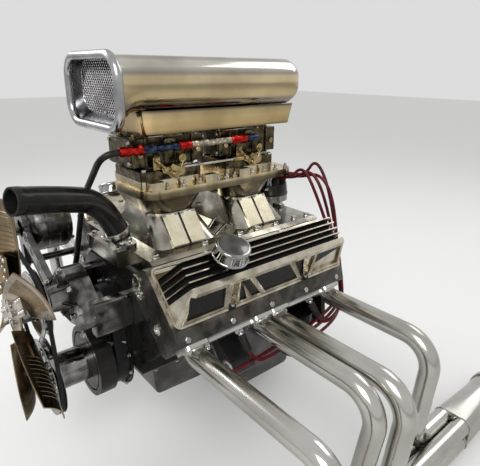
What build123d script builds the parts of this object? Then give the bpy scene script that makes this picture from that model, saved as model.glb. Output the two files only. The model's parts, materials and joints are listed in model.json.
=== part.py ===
from build123d import *
import math
import os

# V8 engine of a hot rod, with its intake scoop, twin carburettors, side headers and front drive.
# Millimetres. The origin is on the crankshaft axis in the plane of the block's rear face.
# +Y points to the rear of the car, +X to its left side and +Z up.

# Running and seating clearances
SHAFT_CLEARANCE = 0.05
SEAT = 0.3
RUNNING_GAP = 5.5
DIAGONAL = math.sqrt(0.5)

# Cylinder block, with its two banks at 45 degrees
BLOCK_LENGTH = 508.0
BANK_MIDDLE = 234.2
BANK_SETBACK = 22.4
DECK_HEIGHT = 229.0
DECK_HALF = 78.0
CRANKCASE_HALF = 125.0
CRANKCASE_TOP = 40.0
SHOULDER_REACH = 20.0
SHOULDER_RISE = 14.0
BELL_RADIUS = 206.0
BELL_THICKNESS = 14.0
BELL_LOWEST = -28.0
BELL_BOLT_RADIUS = 192.0
BELL_BOLT_HOLE = 5.6
BELL_BOLT_ANGLES = (18, 56, 124, 162)
SEAL_HOUSING = 62.0

# Timing cover
CAM_HEIGHT = 115.0
TIMING_LOWER = 84.0
TIMING_UPPER = 70.0
TIMING_RIM = 9.0
TIMING_FLANGE = 5.0
TIMING_DEPTH = 27.0

# Oil pan
PAN_MARGIN = 15.0
PAN_RAIL = 5.0
PAN_LEDGE = 16.0
PAN_RAKE = 8.0
PAN_FRONT_DEPTH = 84.0
PAN_CORNER = 14.0
SUMP_FRONT = -262.0
SUMP_SLOPE = 40.0
SUMP_DEPTH = 188.0

# Cylinder heads
HEAD_LENGTH = 476.0
HEAD_RAIL = 316.0
HEAD_RAIL_STEP = 14.0
HEAD_DECK_STEP = 12.0
HEAD_INNER = 76.0
INTAKE_FACE_TOP = (-70.0, 306.0)
EXHAUST_FACE = 95.0
PORT_HEIGHT = 274.0
PORT_INNER = 24.6
PORT_OUTER = 193.0

# Finned valve covers
COVER_LENGTH = 468.0
COVER_FLANGE = 8.0
COVER_FLANGE_OUTER = 66.0
COVER_FLANGE_INNER = 62.0
COVER_CORNER = 14.0
COVER_BASE_MARGIN = 4.0
COVER_HEIGHT = 76.0
COVER_TOP_OUTER = 31.0
COVER_TOP_INNER = 37.0
COVER_END_RAKE = 22.0
FIN_COUNT = 4
FIN_WIDTH = 2.4
FIN_DEPTH = 14.0
VALLEY_RISE = 4.0
LEDGE_WIDTH = 13.0
WINDOW_LOW = 10.0
WINDOW_HIGH = 8.0
# Recesses in the cover's side: lower edge start and end along the cover from its middle, upper edge start
# and end, then the depth
COVER_WINDOWS = (
    (-213, -127, -213, -137, 5),
    (-112, -96, -119, -105, 8),
    (-90, -70, -101, -97, 5),
    (-56, -33, -99, -79, 5),
    (-20, 77, -67, 30, 5),
    (88, 95, 45, 72, 5),
    (99, 113, 94, 108, 8),
    (124, 213, 115, 196, 5),
)
BREATHER_PLACE = -106.2
BREATHER_RADIUS = 37.0
BREATHER_HEIGHT = 45.0
BREATHER_ROUNDING = 5.0

# Exhaust headers
TUBE_RADIUS = 20.6
TUBE_WALL = 1.6
FLANGE_THICKNESS = 8.0
HEADER_LEVEL = 112.0
FLANGE_BAR = 26.0
FLANGE_PAD = 56.0
FLANGE_PAD_CORNER = 12.0
EXIT_BEND = 24.0
# The end pair and each middle tube: port offset, outer corner, then the place in the bundle across and up
HEADER_TUBES = {
    "header_tubes": ((-PORT_OUTER, 634.0, 1, -1), (PORT_OUTER, 547.0, -1, 1)),
    "header_tube_second": ((-PORT_INNER, 571.0, -1, -1),),
    "header_tube_third": ((PORT_INNER, 596.0, 1, 1),),
}
BUNDLE_X = 553.0
BUNDLE_Z = -180.0
BUNDLE_SPACING = 43.0
BUNDLE_END = 70.0
TUBE_BEND = 62.0
COLLECTOR_LENGTH = 150.0
COLLECTOR_RADIUS = 44.5
COLLECTOR_WALL = 2.0
OUTLET_LENGTH = 80.0
OUTLET_BAND = 4.0
OUTLET_BAND_PLACE = 24.0
OUTLET_BAND_WIDTH = 16.0

# Intake. Places and ends along the engine are from the left bank's middle
INTAKE_BASE_ENDS = (-216.2, 261.8)
INTAKE_BASE_TOP = 272.0
INTAKE_SHOULDER = 12.0
CROSSOVER_HALF = 74.0
CROSSOVER_PLACE = -246.2
CROSSOVER_THICKNESS = 34.0
TOWER_PLACES = (-100.2, 109.8)
TOWER_LENGTH = 116.0
TOWER_TOP = 335.0
TOWER_TOP_HALF = 74.0
TOWER_TOP_CORNER = 46.0
TOWER_FOOT_HALF = 128.0
TOWER_FOOT_LENGTH = 156.0
TOWER_FOOT_CORNER = 24.0
TOWER_SINK = 4.0
RUNNER_SPACING = 44.0
RUNNER_WIDTH = 39.0
RUNNER_PROUD = 4.0
RUNNER_MARGIN = 6.0
PLENUM_ENDS = (-178.2, 259.8)
PLENUM_HALF = 84.0
PLENUM_CORNER = 40.0
PLENUM_WAIST = 368.0
PLENUM_RIM = 386.0
PLENUM_TOP = 404.0
BOWL_LENGTH = 156.0
BOWL_MARGIN = 4.0
RIM_BLOCK_PLACES = (-147.2, -11.2, 85.8)
RIM_BLOCK_LENGTH = 32.0
RIM_BLOCK_DEPTH = 17.0

# Carburettors
CARBURETTOR_PLACES = (-98.2, 121.8)
CARBURETTOR_TOP = 500.0
CARBURETTOR_WIDTH = 128.0
CARBURETTOR_LENGTH = 150.0
CARBURETTOR_CORNER = 10.0
THROTTLE_BODY = 20.0
MAIN_BODY_INSET = 12.0
FLOAT_BOWL_LOW = 30.0
FLOAT_BOWL_LENGTH = 34.0
FLOAT_BOWL_HEIGHT = 56.0
FLOAT_BOWL_INSET = 10.0
FLOAT_BOWL_CORNER = 6.0
FLOAT_BOWL_LAP = 4.0
AIR_HORN_RADIUS = 65.0
AIR_HORN_HEIGHT = 8.0

# Scoop and its base
SCOOP_BASE_TOP = 547.0
SCOOP_BASE_HALF = 84.0
SCOOP_BASE_ENDS = (-174.2, 251.8)
SCOOP_BASE_CORNER = 26.0
SCOOP_BASE_TAPER = 8.0
SCOOP_BASE_FLOOR = 6.0
SCOOP_BASE_WALL = 4.0
SCOOP_MOUTH_PLACE = -232.2
SCOOP_MOUTH_WIDTH = 234.0
SCOOP_MOUTH_HEIGHT = 130.0
SCOOP_MOUTH_Z = 582.0
SCOOP_BODY_WIDTH = 222.0
SCOOP_BODY_HEIGHT = 101.0
SCOOP_FLARE_PLACE = -181.2
SCOOP_CORNER = 42.0
SCOOP_BACK_PLACE = 253.8
SCOOP_BACK_ROUNDING = 46.0
SCOOP_WALL = 3.0
SCOOP_LIP = 9.0
SCREEN_SETBACK = 26.0
SCREEN_PITCH = 18.0
SCREEN_ROW = 17.0
SCREEN_HOLE = 6.4
SCREEN_COLUMNS = 11
SCREEN_ROWS = 5
SCREEN_THICKNESS = 1.6

# Crankshaft, damper and flexplate. Places ahead are from the block's front face
CRANK_SNOUT = 22.0
CRANK_FLANGE = 44.0
CRANK_FLANGE_BACK = 16.0
DAMPER_AHEAD = 38.0
DAMPER_WIDTH = 38.0
DAMPER_RADIUS = 82.0
DAMPER_RING = (70.0, 66.0, 4.0)
FLEXPLATE_THICKNESS = 3.0
FLEXPLATE_RADIUS = 158.0
FLEXPLATE_WINDOW_CIRCLE = 92.0
FLEXPLATE_WINDOW = 17.0
CONVERTER_CIRCLE = 136.5
CONVERTER_HOLE = 5.6
RING_WIDTH = 9.0
RING_DEPTH = 5.0
RING_LAP = 2.0

# Belt and pulleys
BELT_AHEAD = 158.0
BELT_INSET = 0.5
BELT_WIDTH = 8.8
BELT_HEIGHT = 8.0
GROOVE_DEPTH = 11.0
GROOVE_TOP = 6.6
GROOVE_FLOOR = 4.2
PULLEY_WIDTH = 16.0
CRANK_PULLEY_RADIUS = 85.0
CRANK_PULLEY_HUB = 40.0
PUMP_PULLEY_RADIUS = 70.0
ALTERNATOR_PULLEY_RADIUS = 34.0

# Water pump
PUMP_HEIGHT = 175.0
PUMP_LEG = 60.0
PUMP_LEG_X = 93.0
PUMP_LEG_Z = 152.0
PUMP_LEG_WIDTH = 30.0
PUMP_LEG_HEIGHT = 76.0
PUMP_LEG_CORNER = 8.0
PUMP_BODY = 42.0
PUMP_HOUSING = 60.0
PUMP_SNOUT = 32.0
PUMP_SNOUT_LENGTH = 34.0
PUMP_INLET = 19.0
PUMP_INLET_Z = 138.0
PUMP_INLET_REACH = 156.0
PUMP_COLLAR = 24.0
PUMP_COLLAR_REACH = 118.0
PUMP_SHAFT = 15.9
PUMP_SHAFT_DEPTH = 26.0

# Fan and its spacer
FAN_AHEAD = 204.0
FAN_RADIUS = 228.0
FAN_HUB = 62.0
FAN_BLADES = 6
FAN_FLANGE = 38.0
FAN_SPACER = 34.0
FAN_PLATE = 4.0
FAN_ARM = 58.0
FAN_ARM_WIDTH = 40.0
FAN_CAMBER = 9.0
FAN_SHEET = 2.4
# Fan blade sections: distance from the axis, width and pitch from the fan's plane
FAN_SECTIONS = ((58.0, 60.0, 38.0), (145.0, 86.0, 31.0), (FAN_RADIUS, 96.0, 24.0))

# Alternator and its bracket
ALTERNATOR_X = -235.0
ALTERNATOR_Z = 262.0
ALTERNATOR_RADIUS = 62.0
ALTERNATOR_AHEAD = (102.0, 4.0)
ALTERNATOR_NOSE = 14.0
ALTERNATOR_HEEL = 12.0
ALTERNATOR_SHAFT = 8.5
ALTERNATOR_BORE = 30.0
ALTERNATOR_HUB = 16.0
BRACKET_AHEAD = 114.0
BRACKET_FOOT = (-75.0, 176.0)
BRACKET_TIP = (-300.0, 292.0)
BRACKET_END = 23.0
BRACKET_BOSS = 40.0
BRACKET_LEG = (-248.0, 170.0)
BRACKET_LEG_RADIUS = 13.0
BRACKET_STANDOFF = 9.0

# Cooling outlet. The hose's route gives X, the place from the left bank's middle and Z
NECK_X = 35.0
NECK_PLACE = -214.2
NECK_FLANGE_LENGTH = 78.0
NECK_FLANGE_WIDTH = 46.0
NECK_FLANGE = 9.0
NECK_LENGTH = 40.0
NECK_WALL = 2.5
HOSE_RADIUS = 25.0
HOSE_WALL = 4.5
HOSE_GRIP = 26.0
HOSE_ROUTE = ((46.0, -252.2, 376.0), (75.0, -346.2, 404.0), (98.0, -428.2, 418.0))
HOSE_BENDS = [120, 420]
CLAMP_PLACE = 6.0
CLAMP_BAND = 1.4
CLAMP_WIDTH = 13.0
CLAMP_BOX = (11.0, 17.6)

# Ignition
DISTRIBUTOR_PLACE = 247.8
DISTRIBUTOR_STEM = 24.0
DISTRIBUTOR_RISE = 14.0
DISTRIBUTOR_RADIUS = 50.0
DISTRIBUTOR_BOWL = 16.0
CAP_HEIGHT = 30.0
CAP_TOWER_CIRCLE = 38.0
CAP_TOWER = 7.0
CAP_TOWER_HEIGHT = 14.0
PLUG_OFFSETS = (-152.0, -66.0, 66.0, 152.0)
PLUG_HEIGHT = 250.0
PLUG_RADIUS = 9.0
PLUG_LENGTH = 55.0
WIRE_RADIUS = 4.0
WIRE_TURN = 12.0
# Plug wires of one side: tower angle, depth at the tub's edge from the cap's axis, the loop's reach and
# height, the run's height
PLUG_WIRES = (
    (-67.5, -21.0, 118.0, 398.0, 54.0),
    (-22.5, -2.0, 132.0, 388.0, 42.0),
    (22.5, 18.0, 146.0, 378.0, 30.0),
    (67.5, 38.0, 108.0, 408.0, 66.0),
)
WIRE_LEVEL = 359.5
WIRE_EDGE_X = 94.0
WIRE_BACK = 22.0
# From the loop's height: the steps outward, back and down to where the wire heads for the drop
WIRE_FALL = (46.0, 6.0, 66.0)
# The drop behind the head: X, place from the bank's middle and height above the run
WIRE_DROP = (222.0, 295.8, 96.0)
WIRE_RUN_X = 262.0
WIRE_RUN_PLACE = 273.8
# The last turn to the plug: outward and rearward of the boot's axis
WIRE_APPROACH = (6.0, 34.0)
WIRE_END = 16.0

# Fuel line along the left of the carburettors, in places from the left bank's middle
FUEL_LINE_X = 80.0
FUEL_LINE_Z = 474.0
FITTING_RADIUS = 11.0
TEE_RADIUS = 9.0
BRANCH_RADIUS = 8.0
FUEL_HOSE_RADIUS = 7.0
# Front and back ends of each red hose end
RED_FITTINGS = ((-225.2, -174.2), (-92.2, -61.2), (46.8, 90.8))
# Front and back ends of each blue tee, then its branch's place and how far in it reaches
BLUE_FITTINGS = ((-173.9, -92.5, -158.2, 54.3), (91.1, 125.8, 113.8, 54.3))
# The feed hose's route down to the fuel pump, with the bend at each corner
FEED_ROUTE = (
    (68.0, -260.2, 462.0),
    (20.0, -256.2, 424.0),
    (-45.0, -258.2, 362.0),
    (-85.0, -262.2, 268.0),
    (-128.0, -261.2, 190.0),
    (-152.0, -278.2, 100.0),
    (-181.3, -286.2, 6.0),
)
FEED_BENDS = [14, 30, 40, 60, 60, 60, 40, 30]
FEED_LEAD = 18.0

# Throttle linkage
LEVER_BOSS = 9.5
LEVER_TIP = 6.0
LEVER_REACH = 24.0
LEVER_RISE = 13.0
LEVER_THICKNESS = 5.0
ROD_RADIUS = 3.5

# Pieces low on the block
STARTER_X = -172.0
STARTER_Z = -62.0
STARTER_BACK = -BELL_THICKNESS - SEAT
STARTER_RADIUS = 40.0
STARTER_LENGTH = 190.0
SOLENOID_RADIUS = 24.0
SOLENOID_LENGTH = 133.0
SOLENOID_PLACE = (-10.0, 48.0)
FILTER_X = 173.0
FILTER_Y = -78.0
FILTER_RADIUS = 46.0
FILTER_LENGTH = 95.0
FILTER_ROUNDING = 8.0
FILTER_PAD = 26.0
FILTER_PAD_INSET = 4.0
FUEL_PUMP_PLACE = -178.2
FUEL_PUMP_Z = 6.0
FUEL_PUMP_FLANGE = (80.0, 34.0)
FUEL_PUMP_ARM = 26.0
FUEL_PUMP_RADIUS = 38.0
FUEL_PUMP_LAP = 8.0
FUEL_PUMP_HEIGHT = 60.0
FUEL_PUMP_STUB = 8.0

# Engine mounts
MOUNT_PLACE = -16.2
MOUNT_X = 186.0
MOUNT_Z = -36.0
MOUNT_EYE = 25.0
MOUNT_FOOT = 12.0
MOUNT_FOOT_HEIGHT = 24.0
MOUNT_FOOT_Z = 13.0
MOUNT_BOLT = 6.4
MOUNT_LENGTH = 64.0

BANK_CENTRE_Y = BANK_MIDDLE - BLOCK_LENGTH

os.makedirs("parts", exist_ok=True)


def bank_xz(across, up):
    """X and Z on the left bank, from the distance outboard and the distance along the cylinders."""
    return ((up + across) * DIAGONAL, (up - across) * DIAGONAL)


def bank_vector(across, up):
    """A direction on the left bank."""
    x, z = bank_xz(across, up)
    return (x, 0, z)


def bank_section(y):
    """A plane across the left bank: its x is outboard, its y runs along the cylinders."""
    return Plane(origin=(0, y, 0), x_dir=bank_vector(1, 0), z_dir=(0, -1, 0))


def bank_level(up):
    """A plane parallel to the left deck: its x is outboard, its y is the car's Y."""
    x, z = bank_xz(0, up)
    return Plane(origin=(x, BANK_CENTRE_Y, z), x_dir=bank_vector(1, 0), z_dir=bank_vector(0, 1))


def bank_y(place):
    """Y of a place given from the left bank's middle."""
    return BANK_CENTRE_Y + place


def ahead(distance):
    """Y of a plane ahead of the block's front face."""
    return -BLOCK_LENGTH - distance


def side_plane(x):
    """A plane facing the left side of the car: its x is the car's Y, its y is up."""
    return Plane(origin=(x, 0, 0), x_dir=(0, 1, 0), z_dir=(1, 0, 0))


def front_plane(y):
    """A plane facing the front of the car: its x is the car's X, its y is up."""
    return Plane.XZ.offset(-y)


def on_right_bank(left_part):
    """The left bank's piece mirrored to the right bank, which lies further back."""
    with BuildPart() as piece:
        with Locations((0, BANK_SETBACK, 0)):
            add(mirror(left_part, about=Plane.YZ, mode=Mode.PRIVATE))
    return piece.part


def save(part, name):
    """Name the piece and write its file."""
    part.label = name
    export_step(part, f"parts/{name}.step")


def tube_along(points, radii, radius, wall=0.0):
    """A round tube along straight runs joined by tangent arcs. With no wall it is solid."""
    with BuildPart() as tube:
        with BuildLine() as route:
            FilletPolyline(*points, radius=radii)
        with BuildSketch(Plane(origin=points[0], z_dir=route.line % 0)):
            Circle(radius)
            if wall:
                Circle(radius - wall, mode=Mode.SUBTRACT)
        sweep(path=route.line)
    return tube.part


# Planes that several pieces share
plenum_front, plenum_back = [bank_y(place) for place in PLENUM_ENDS]
scoop_mouth_y = bank_y(SCOOP_MOUTH_PLACE)
flare_end_y = bank_y(SCOOP_FLARE_PLACE)
scoop_back = bank_y(SCOOP_BACK_PLACE)
damper_back = ahead(DAMPER_AHEAD)
belt_plane = ahead(BELT_AHEAD)
fan_y = ahead(FAN_AHEAD)
bracket_front = ahead(BRACKET_AHEAD)
alternator_front, alternator_back = [ahead(distance) for distance in ALTERNATOR_AHEAD]
distributor_y = bank_y(DISTRIBUTOR_PLACE)
fuel_pump_y = bank_y(FUEL_PUMP_PLACE)

# Block: a crankcase between two banks, with the bellhousing flange at the rear
deck_outer = bank_xz(DECK_HALF, DECK_HEIGHT)
deck_inner = bank_xz(-HEAD_INNER, DECK_HEIGHT)
with BuildPart() as block:
    with BuildSketch(Plane.XZ):
        with BuildLine():
            Polyline(
                (0, 0),
                (CRANKCASE_HALF, 0),
                (CRANKCASE_HALF, CRANKCASE_TOP - SHOULDER_RISE),
                (CRANKCASE_HALF + SHOULDER_REACH, CRANKCASE_TOP),
                deck_outer,
                deck_inner,
                (0, deck_inner[1]),
            )
            mirror(about=Plane.YZ)
        make_face()
    extrude(amount=BLOCK_LENGTH)
    with BuildSketch(Plane.XZ):
        Circle(BELL_RADIUS)
        with Locations((0, BELL_LOWEST)):
            Rectangle(2 * BELL_RADIUS, BELL_RADIUS, align=(Align.CENTER, Align.MAX), mode=Mode.SUBTRACT)
        Circle(SEAL_HOUSING)
    extrude(amount=BELL_THICKNESS)
    with BuildSketch(Plane.XY):
        with Locations((FILTER_X, FILTER_Y)):
            Circle(FILTER_RADIUS - FILTER_PAD_INSET)
        with Locations((CRANKCASE_HALF, FILTER_Y)):
            Rectangle(2 * FILTER_PAD_INSET, 2 * (FILTER_RADIUS - FILTER_PAD_INSET))
        make_hull()
    extrude(amount=FILTER_PAD)
    with BuildSketch(Plane.XZ):
        for angle in BELL_BOLT_ANGLES:
            with Locations(Rotation(0, 0, angle) * Location((BELL_BOLT_RADIUS, 0, 0))):
                Circle(BELL_BOLT_HOLE)
    extrude(amount=BELL_THICKNESS, mode=Mode.SUBTRACT)
    with BuildSketch(Plane.XZ):
        Circle(CRANK_FLANGE + SHAFT_CLEARANCE)
    extrude(amount=BELL_THICKNESS, mode=Mode.SUBTRACT)
save(block.part, "block")

# Timing cover: a plate round the crank and cam axes, with a raised centre
with BuildPart() as timing_cover:
    with BuildSketch(front_plane(-BLOCK_LENGTH)):
        Circle(TIMING_LOWER)
        with Locations((0, CAM_HEIGHT)):
            Circle(TIMING_UPPER)
        make_hull()
    extrude(amount=TIMING_FLANGE)
    with BuildSketch(front_plane(-BLOCK_LENGTH - TIMING_FLANGE)):
        Circle(TIMING_LOWER - TIMING_RIM)
        with Locations((0, CAM_HEIGHT)):
            Circle(TIMING_UPPER - TIMING_RIM)
        make_hull()
    extrude(amount=TIMING_DEPTH, taper=8)
    with BuildSketch(front_plane(-BLOCK_LENGTH)):
        Circle(CRANK_SNOUT + SHAFT_CLEARANCE)
    extrude(amount=TIMING_FLANGE + TIMING_DEPTH, mode=Mode.SUBTRACT)
save(timing_cover.part, "timing_cover")

# Oil pan: a rail plate, a shallow front and a deep rear sump
with BuildPart() as oil_pan:
    with BuildSketch(Plane.XY):
        with Locations((0, -BLOCK_LENGTH / 2)):
            RectangleRounded(2 * CRANKCASE_HALF, BLOCK_LENGTH - 2 * PAN_MARGIN, PAN_CORNER)
    extrude(amount=-PAN_RAIL)
    with BuildSketch(Plane.YZ) as pan_side:
        with BuildLine():
            Polyline(
                (PAN_MARGIN - BLOCK_LENGTH + PAN_LEDGE, -PAN_RAIL),
                (PAN_MARGIN - BLOCK_LENGTH + PAN_LEDGE + PAN_RAKE, -PAN_FRONT_DEPTH),
                (SUMP_FRONT - SUMP_SLOPE, -PAN_FRONT_DEPTH - PAN_RAKE),
                (SUMP_FRONT, -SUMP_DEPTH),
                (-PAN_MARGIN - PAN_LEDGE - PAN_RAKE, -SUMP_DEPTH),
                (-PAN_MARGIN - PAN_LEDGE, -PAN_RAIL),
                close=True,
            )
        make_face()
        fillet(pan_side.vertices().sort_by(Axis.Y)[:4], PAN_CORNER)
    extrude(amount=CRANKCASE_HALF - PAN_LEDGE, both=True)
save(oil_pan.part, "oil_pan")

# Cylinder heads
with BuildPart() as head_left:
    with BuildSketch(bank_section(BANK_CENTRE_Y)):
        with BuildLine():
            Polyline(
                (-HEAD_INNER, DECK_HEIGHT),
                (EXHAUST_FACE - HEAD_DECK_STEP, DECK_HEIGHT),
                (EXHAUST_FACE, DECK_HEIGHT + HEAD_DECK_STEP),
                (EXHAUST_FACE, HEAD_RAIL - HEAD_RAIL_STEP),
                (COVER_FLANGE_OUTER + COVER_BASE_MARGIN, HEAD_RAIL),
                (-COVER_FLANGE_INNER, HEAD_RAIL),
                (INTAKE_FACE_TOP[0], INTAKE_FACE_TOP[1]),
                close=True,
            )
        make_face()
    extrude(amount=HEAD_LENGTH / 2, both=True)
save(head_left.part, "head_left")
save(on_right_bank(head_left.part), "head_right")

# Valve covers: a raked box on a flange, with recesses in its side. Over its top and ends run long fins,
# the first on its inner edge, and a wide ledge on its outer edge
cover_half = COVER_LENGTH / 2
cover_base = HEAD_RAIL + COVER_FLANGE
cover_top = HEAD_RAIL + COVER_HEIGHT
cover_base_length = COVER_LENGTH - 2 * COVER_BASE_MARGIN
cover_top_length = cover_base_length - 2 * COVER_END_RAKE
cover_base_middle = (COVER_FLANGE_OUTER - COVER_FLANGE_INNER) / 2
cover_base_width = COVER_FLANGE_OUTER + COVER_FLANGE_INNER - 2 * COVER_BASE_MARGIN
cover_top_middle = (COVER_TOP_OUTER - COVER_TOP_INNER) / 2
cover_top_width = COVER_TOP_OUTER + COVER_TOP_INNER
valley_width = (cover_top_width - LEDGE_WIDTH) / FIN_COUNT - FIN_WIDTH
side_rise = Vector(COVER_TOP_OUTER - COVER_FLANGE_OUTER + COVER_BASE_MARGIN, cover_top - cover_base)
with BuildPart() as valve_cover_left:
    with BuildSketch(bank_level(HEAD_RAIL)):
        with Locations((cover_base_middle, 0)):
            RectangleRounded(COVER_FLANGE_OUTER + COVER_FLANGE_INNER, COVER_LENGTH, COVER_CORNER)
    extrude(amount=COVER_FLANGE)
    with BuildSketch(bank_level(cover_base)):
        with Locations((cover_base_middle, 0)):
            RectangleRounded(cover_base_width, cover_base_length, COVER_CORNER - COVER_BASE_MARGIN)
    with BuildSketch(bank_level(cover_top)):
        with Locations((cover_top_middle, 0)):
            RectangleRounded(cover_top_width, cover_top_length, COVER_CORNER - COVER_BASE_MARGIN)
    loft()
    for valley in range(FIN_COUNT):
        across = (valley + 1) * (FIN_WIDTH + valley_width) - valley_width / 2 - COVER_TOP_INNER
        x, z = bank_xz(across, 0)
        with BuildSketch(Plane(origin=(x, BANK_CENTRE_Y, z), x_dir=(0, 1, 0), z_dir=bank_vector(1, 0))):
            with BuildLine():
                Polyline(
                    (-cover_half - FIN_DEPTH, cover_base),
                    (-cover_half + FIN_DEPTH, cover_base + VALLEY_RISE),
                    (-cover_half + COVER_END_RAKE + FIN_DEPTH, cover_top - FIN_DEPTH),
                    (cover_half - COVER_END_RAKE - FIN_DEPTH, cover_top - FIN_DEPTH),
                    (cover_half - FIN_DEPTH, cover_base + VALLEY_RISE),
                    (cover_half + FIN_DEPTH, cover_base),
                    (cover_half + FIN_DEPTH, cover_top + FIN_DEPTH),
                    (-cover_half - FIN_DEPTH, cover_top + FIN_DEPTH),
                    close=True,
                )
            make_face()
        extrude(amount=valley_width / 2, both=True, mode=Mode.SUBTRACT)
    side_x, side_z = bank_xz(COVER_FLANGE_OUTER - COVER_BASE_MARGIN, cover_base)
    side_normal = bank_vector(side_rise.Y, -side_rise.X)
    side_face = Plane(origin=(side_x, BANK_CENTRE_Y, side_z), x_dir=(0, 1, 0), z_dir=side_normal)
    for low_start, low_end, high_start, high_end, depth in COVER_WINDOWS:
        with BuildSketch(side_face):
            with BuildLine():
                Polyline(
                    (low_start, WINDOW_LOW),
                    (low_end, WINDOW_LOW),
                    (high_end, side_rise.length - WINDOW_HIGH),
                    (high_start, side_rise.length - WINDOW_HIGH),
                    close=True,
                )
            make_face()
        extrude(amount=-depth, mode=Mode.SUBTRACT)
save(valve_cover_left.part, "valve_cover_left")
save(on_right_bank(valve_cover_left.part), "valve_cover_right")

# Breather caps, each standing on the fins
breather_seat = cover_top - FIN_DEPTH
with BuildPart() as breather_left:
    neck_x, neck_z = bank_xz(cover_top_middle, breather_seat)
    neck = Plane(origin=(neck_x, bank_y(BREATHER_PLACE), neck_z), x_dir=(0, 1, 0), z_dir=bank_vector(0, 1))
    with BuildSketch(neck.offset(FIN_DEPTH + SEAT)):
        Circle(BREATHER_RADIUS)
    extrude(amount=BREATHER_HEIGHT)
    fillet(breather_left.faces().sort_by(Axis.Z)[-1].edges(), BREATHER_ROUNDING)
save(breather_left.part, "breather_left")
save(on_right_bank(breather_left.part), "breather_right")

# Exhaust headers: port flanges, four bent tubes a side and a four-into-one collector
port_offsets = (-PORT_OUTER, -PORT_INNER, PORT_INNER, PORT_OUTER)
flange_x, flange_z = bank_xz(EXHAUST_FACE, 0)
exhaust_face = Plane(origin=(flange_x, BANK_CENTRE_Y, flange_z), x_dir=(0, 1, 0), z_dir=bank_vector(1, 0))
with BuildPart() as header_flange_left:
    with BuildSketch(exhaust_face):
        with Locations((0, PORT_HEIGHT)):
            Rectangle(2 * PORT_OUTER, FLANGE_BAR)
        for along in port_offsets:
            with Locations((along, PORT_HEIGHT)):
                RectangleRounded(FLANGE_PAD, FLANGE_PAD, FLANGE_PAD_CORNER)
        for along in port_offsets:
            with Locations((along, PORT_HEIGHT)):
                Circle(TUBE_RADIUS - TUBE_WALL, mode=Mode.SUBTRACT)
    extrude(amount=FLANGE_THICKNESS)
save(header_flange_left.part, "header_flange_left")
save(on_right_bank(header_flange_left.part), "header_flange_right")

port_x, port_z = bank_xz(EXHAUST_FACE + FLANGE_THICKNESS, PORT_HEIGHT)
exit_drop = port_z - HEADER_LEVEL
half_spacing = BUNDLE_SPACING / 2
for node, tubes in HEADER_TUBES.items():
    with BuildPart() as tubes_left:
        for along, corner_x, bundle_across, bundle_up in tubes:
            y = BANK_CENTRE_Y + along
            end_x = BUNDLE_X + bundle_across * half_spacing
            end_z = BUNDLE_Z + bundle_up * half_spacing
            add(
                tube_along(
                    [
                        (port_x, y, port_z),
                        (port_x + exit_drop, y, HEADER_LEVEL),
                        (corner_x, y, HEADER_LEVEL),
                        (end_x, y, end_z),
                        (end_x, BUNDLE_END, end_z),
                    ],
                    [EXIT_BEND, TUBE_BEND, TUBE_BEND],
                    TUBE_RADIUS,
                    TUBE_WALL,
                )
            )
    save(tubes_left.part, f"{node}_left")
    save(on_right_bank(tubes_left.part), f"{node}_right")

collector_front = Plane(origin=(BUNDLE_X, BUNDLE_END + SEAT, BUNDLE_Z), x_dir=(-1, 0, 0), z_dir=(0, 1, 0))
collector_end = collector_front.offset(COLLECTOR_LENGTH)
bundle_width = BUNDLE_SPACING + 2 * TUBE_RADIUS
with BuildPart() as collector_left:
    with BuildSketch(collector_front):
        RectangleRounded(bundle_width, bundle_width, TUBE_RADIUS)
    with BuildSketch(collector_end):
        Circle(COLLECTOR_RADIUS)
    loft()
    with BuildSketch(collector_end):
        Circle(COLLECTOR_RADIUS)
    extrude(amount=OUTLET_LENGTH)
    with BuildSketch(collector_front):
        RectangleRounded(
            bundle_width - 2 * COLLECTOR_WALL, bundle_width - 2 * COLLECTOR_WALL, TUBE_RADIUS - COLLECTOR_WALL
        )
    with BuildSketch(collector_end):
        Circle(COLLECTOR_RADIUS - COLLECTOR_WALL)
    loft(mode=Mode.SUBTRACT)
    with BuildSketch(collector_end):
        Circle(COLLECTOR_RADIUS - COLLECTOR_WALL)
    extrude(amount=OUTLET_LENGTH, mode=Mode.SUBTRACT)
    with BuildSketch(collector_end.offset(OUTLET_LENGTH - OUTLET_BAND_PLACE)):
        Circle(COLLECTOR_RADIUS + OUTLET_BAND)
        Circle(COLLECTOR_RADIUS, mode=Mode.SUBTRACT)
    extrude(amount=OUTLET_BAND_WIDTH)
save(collector_left.part, "collector_left")
save(on_right_bank(collector_left.part), "collector_right")

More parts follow.
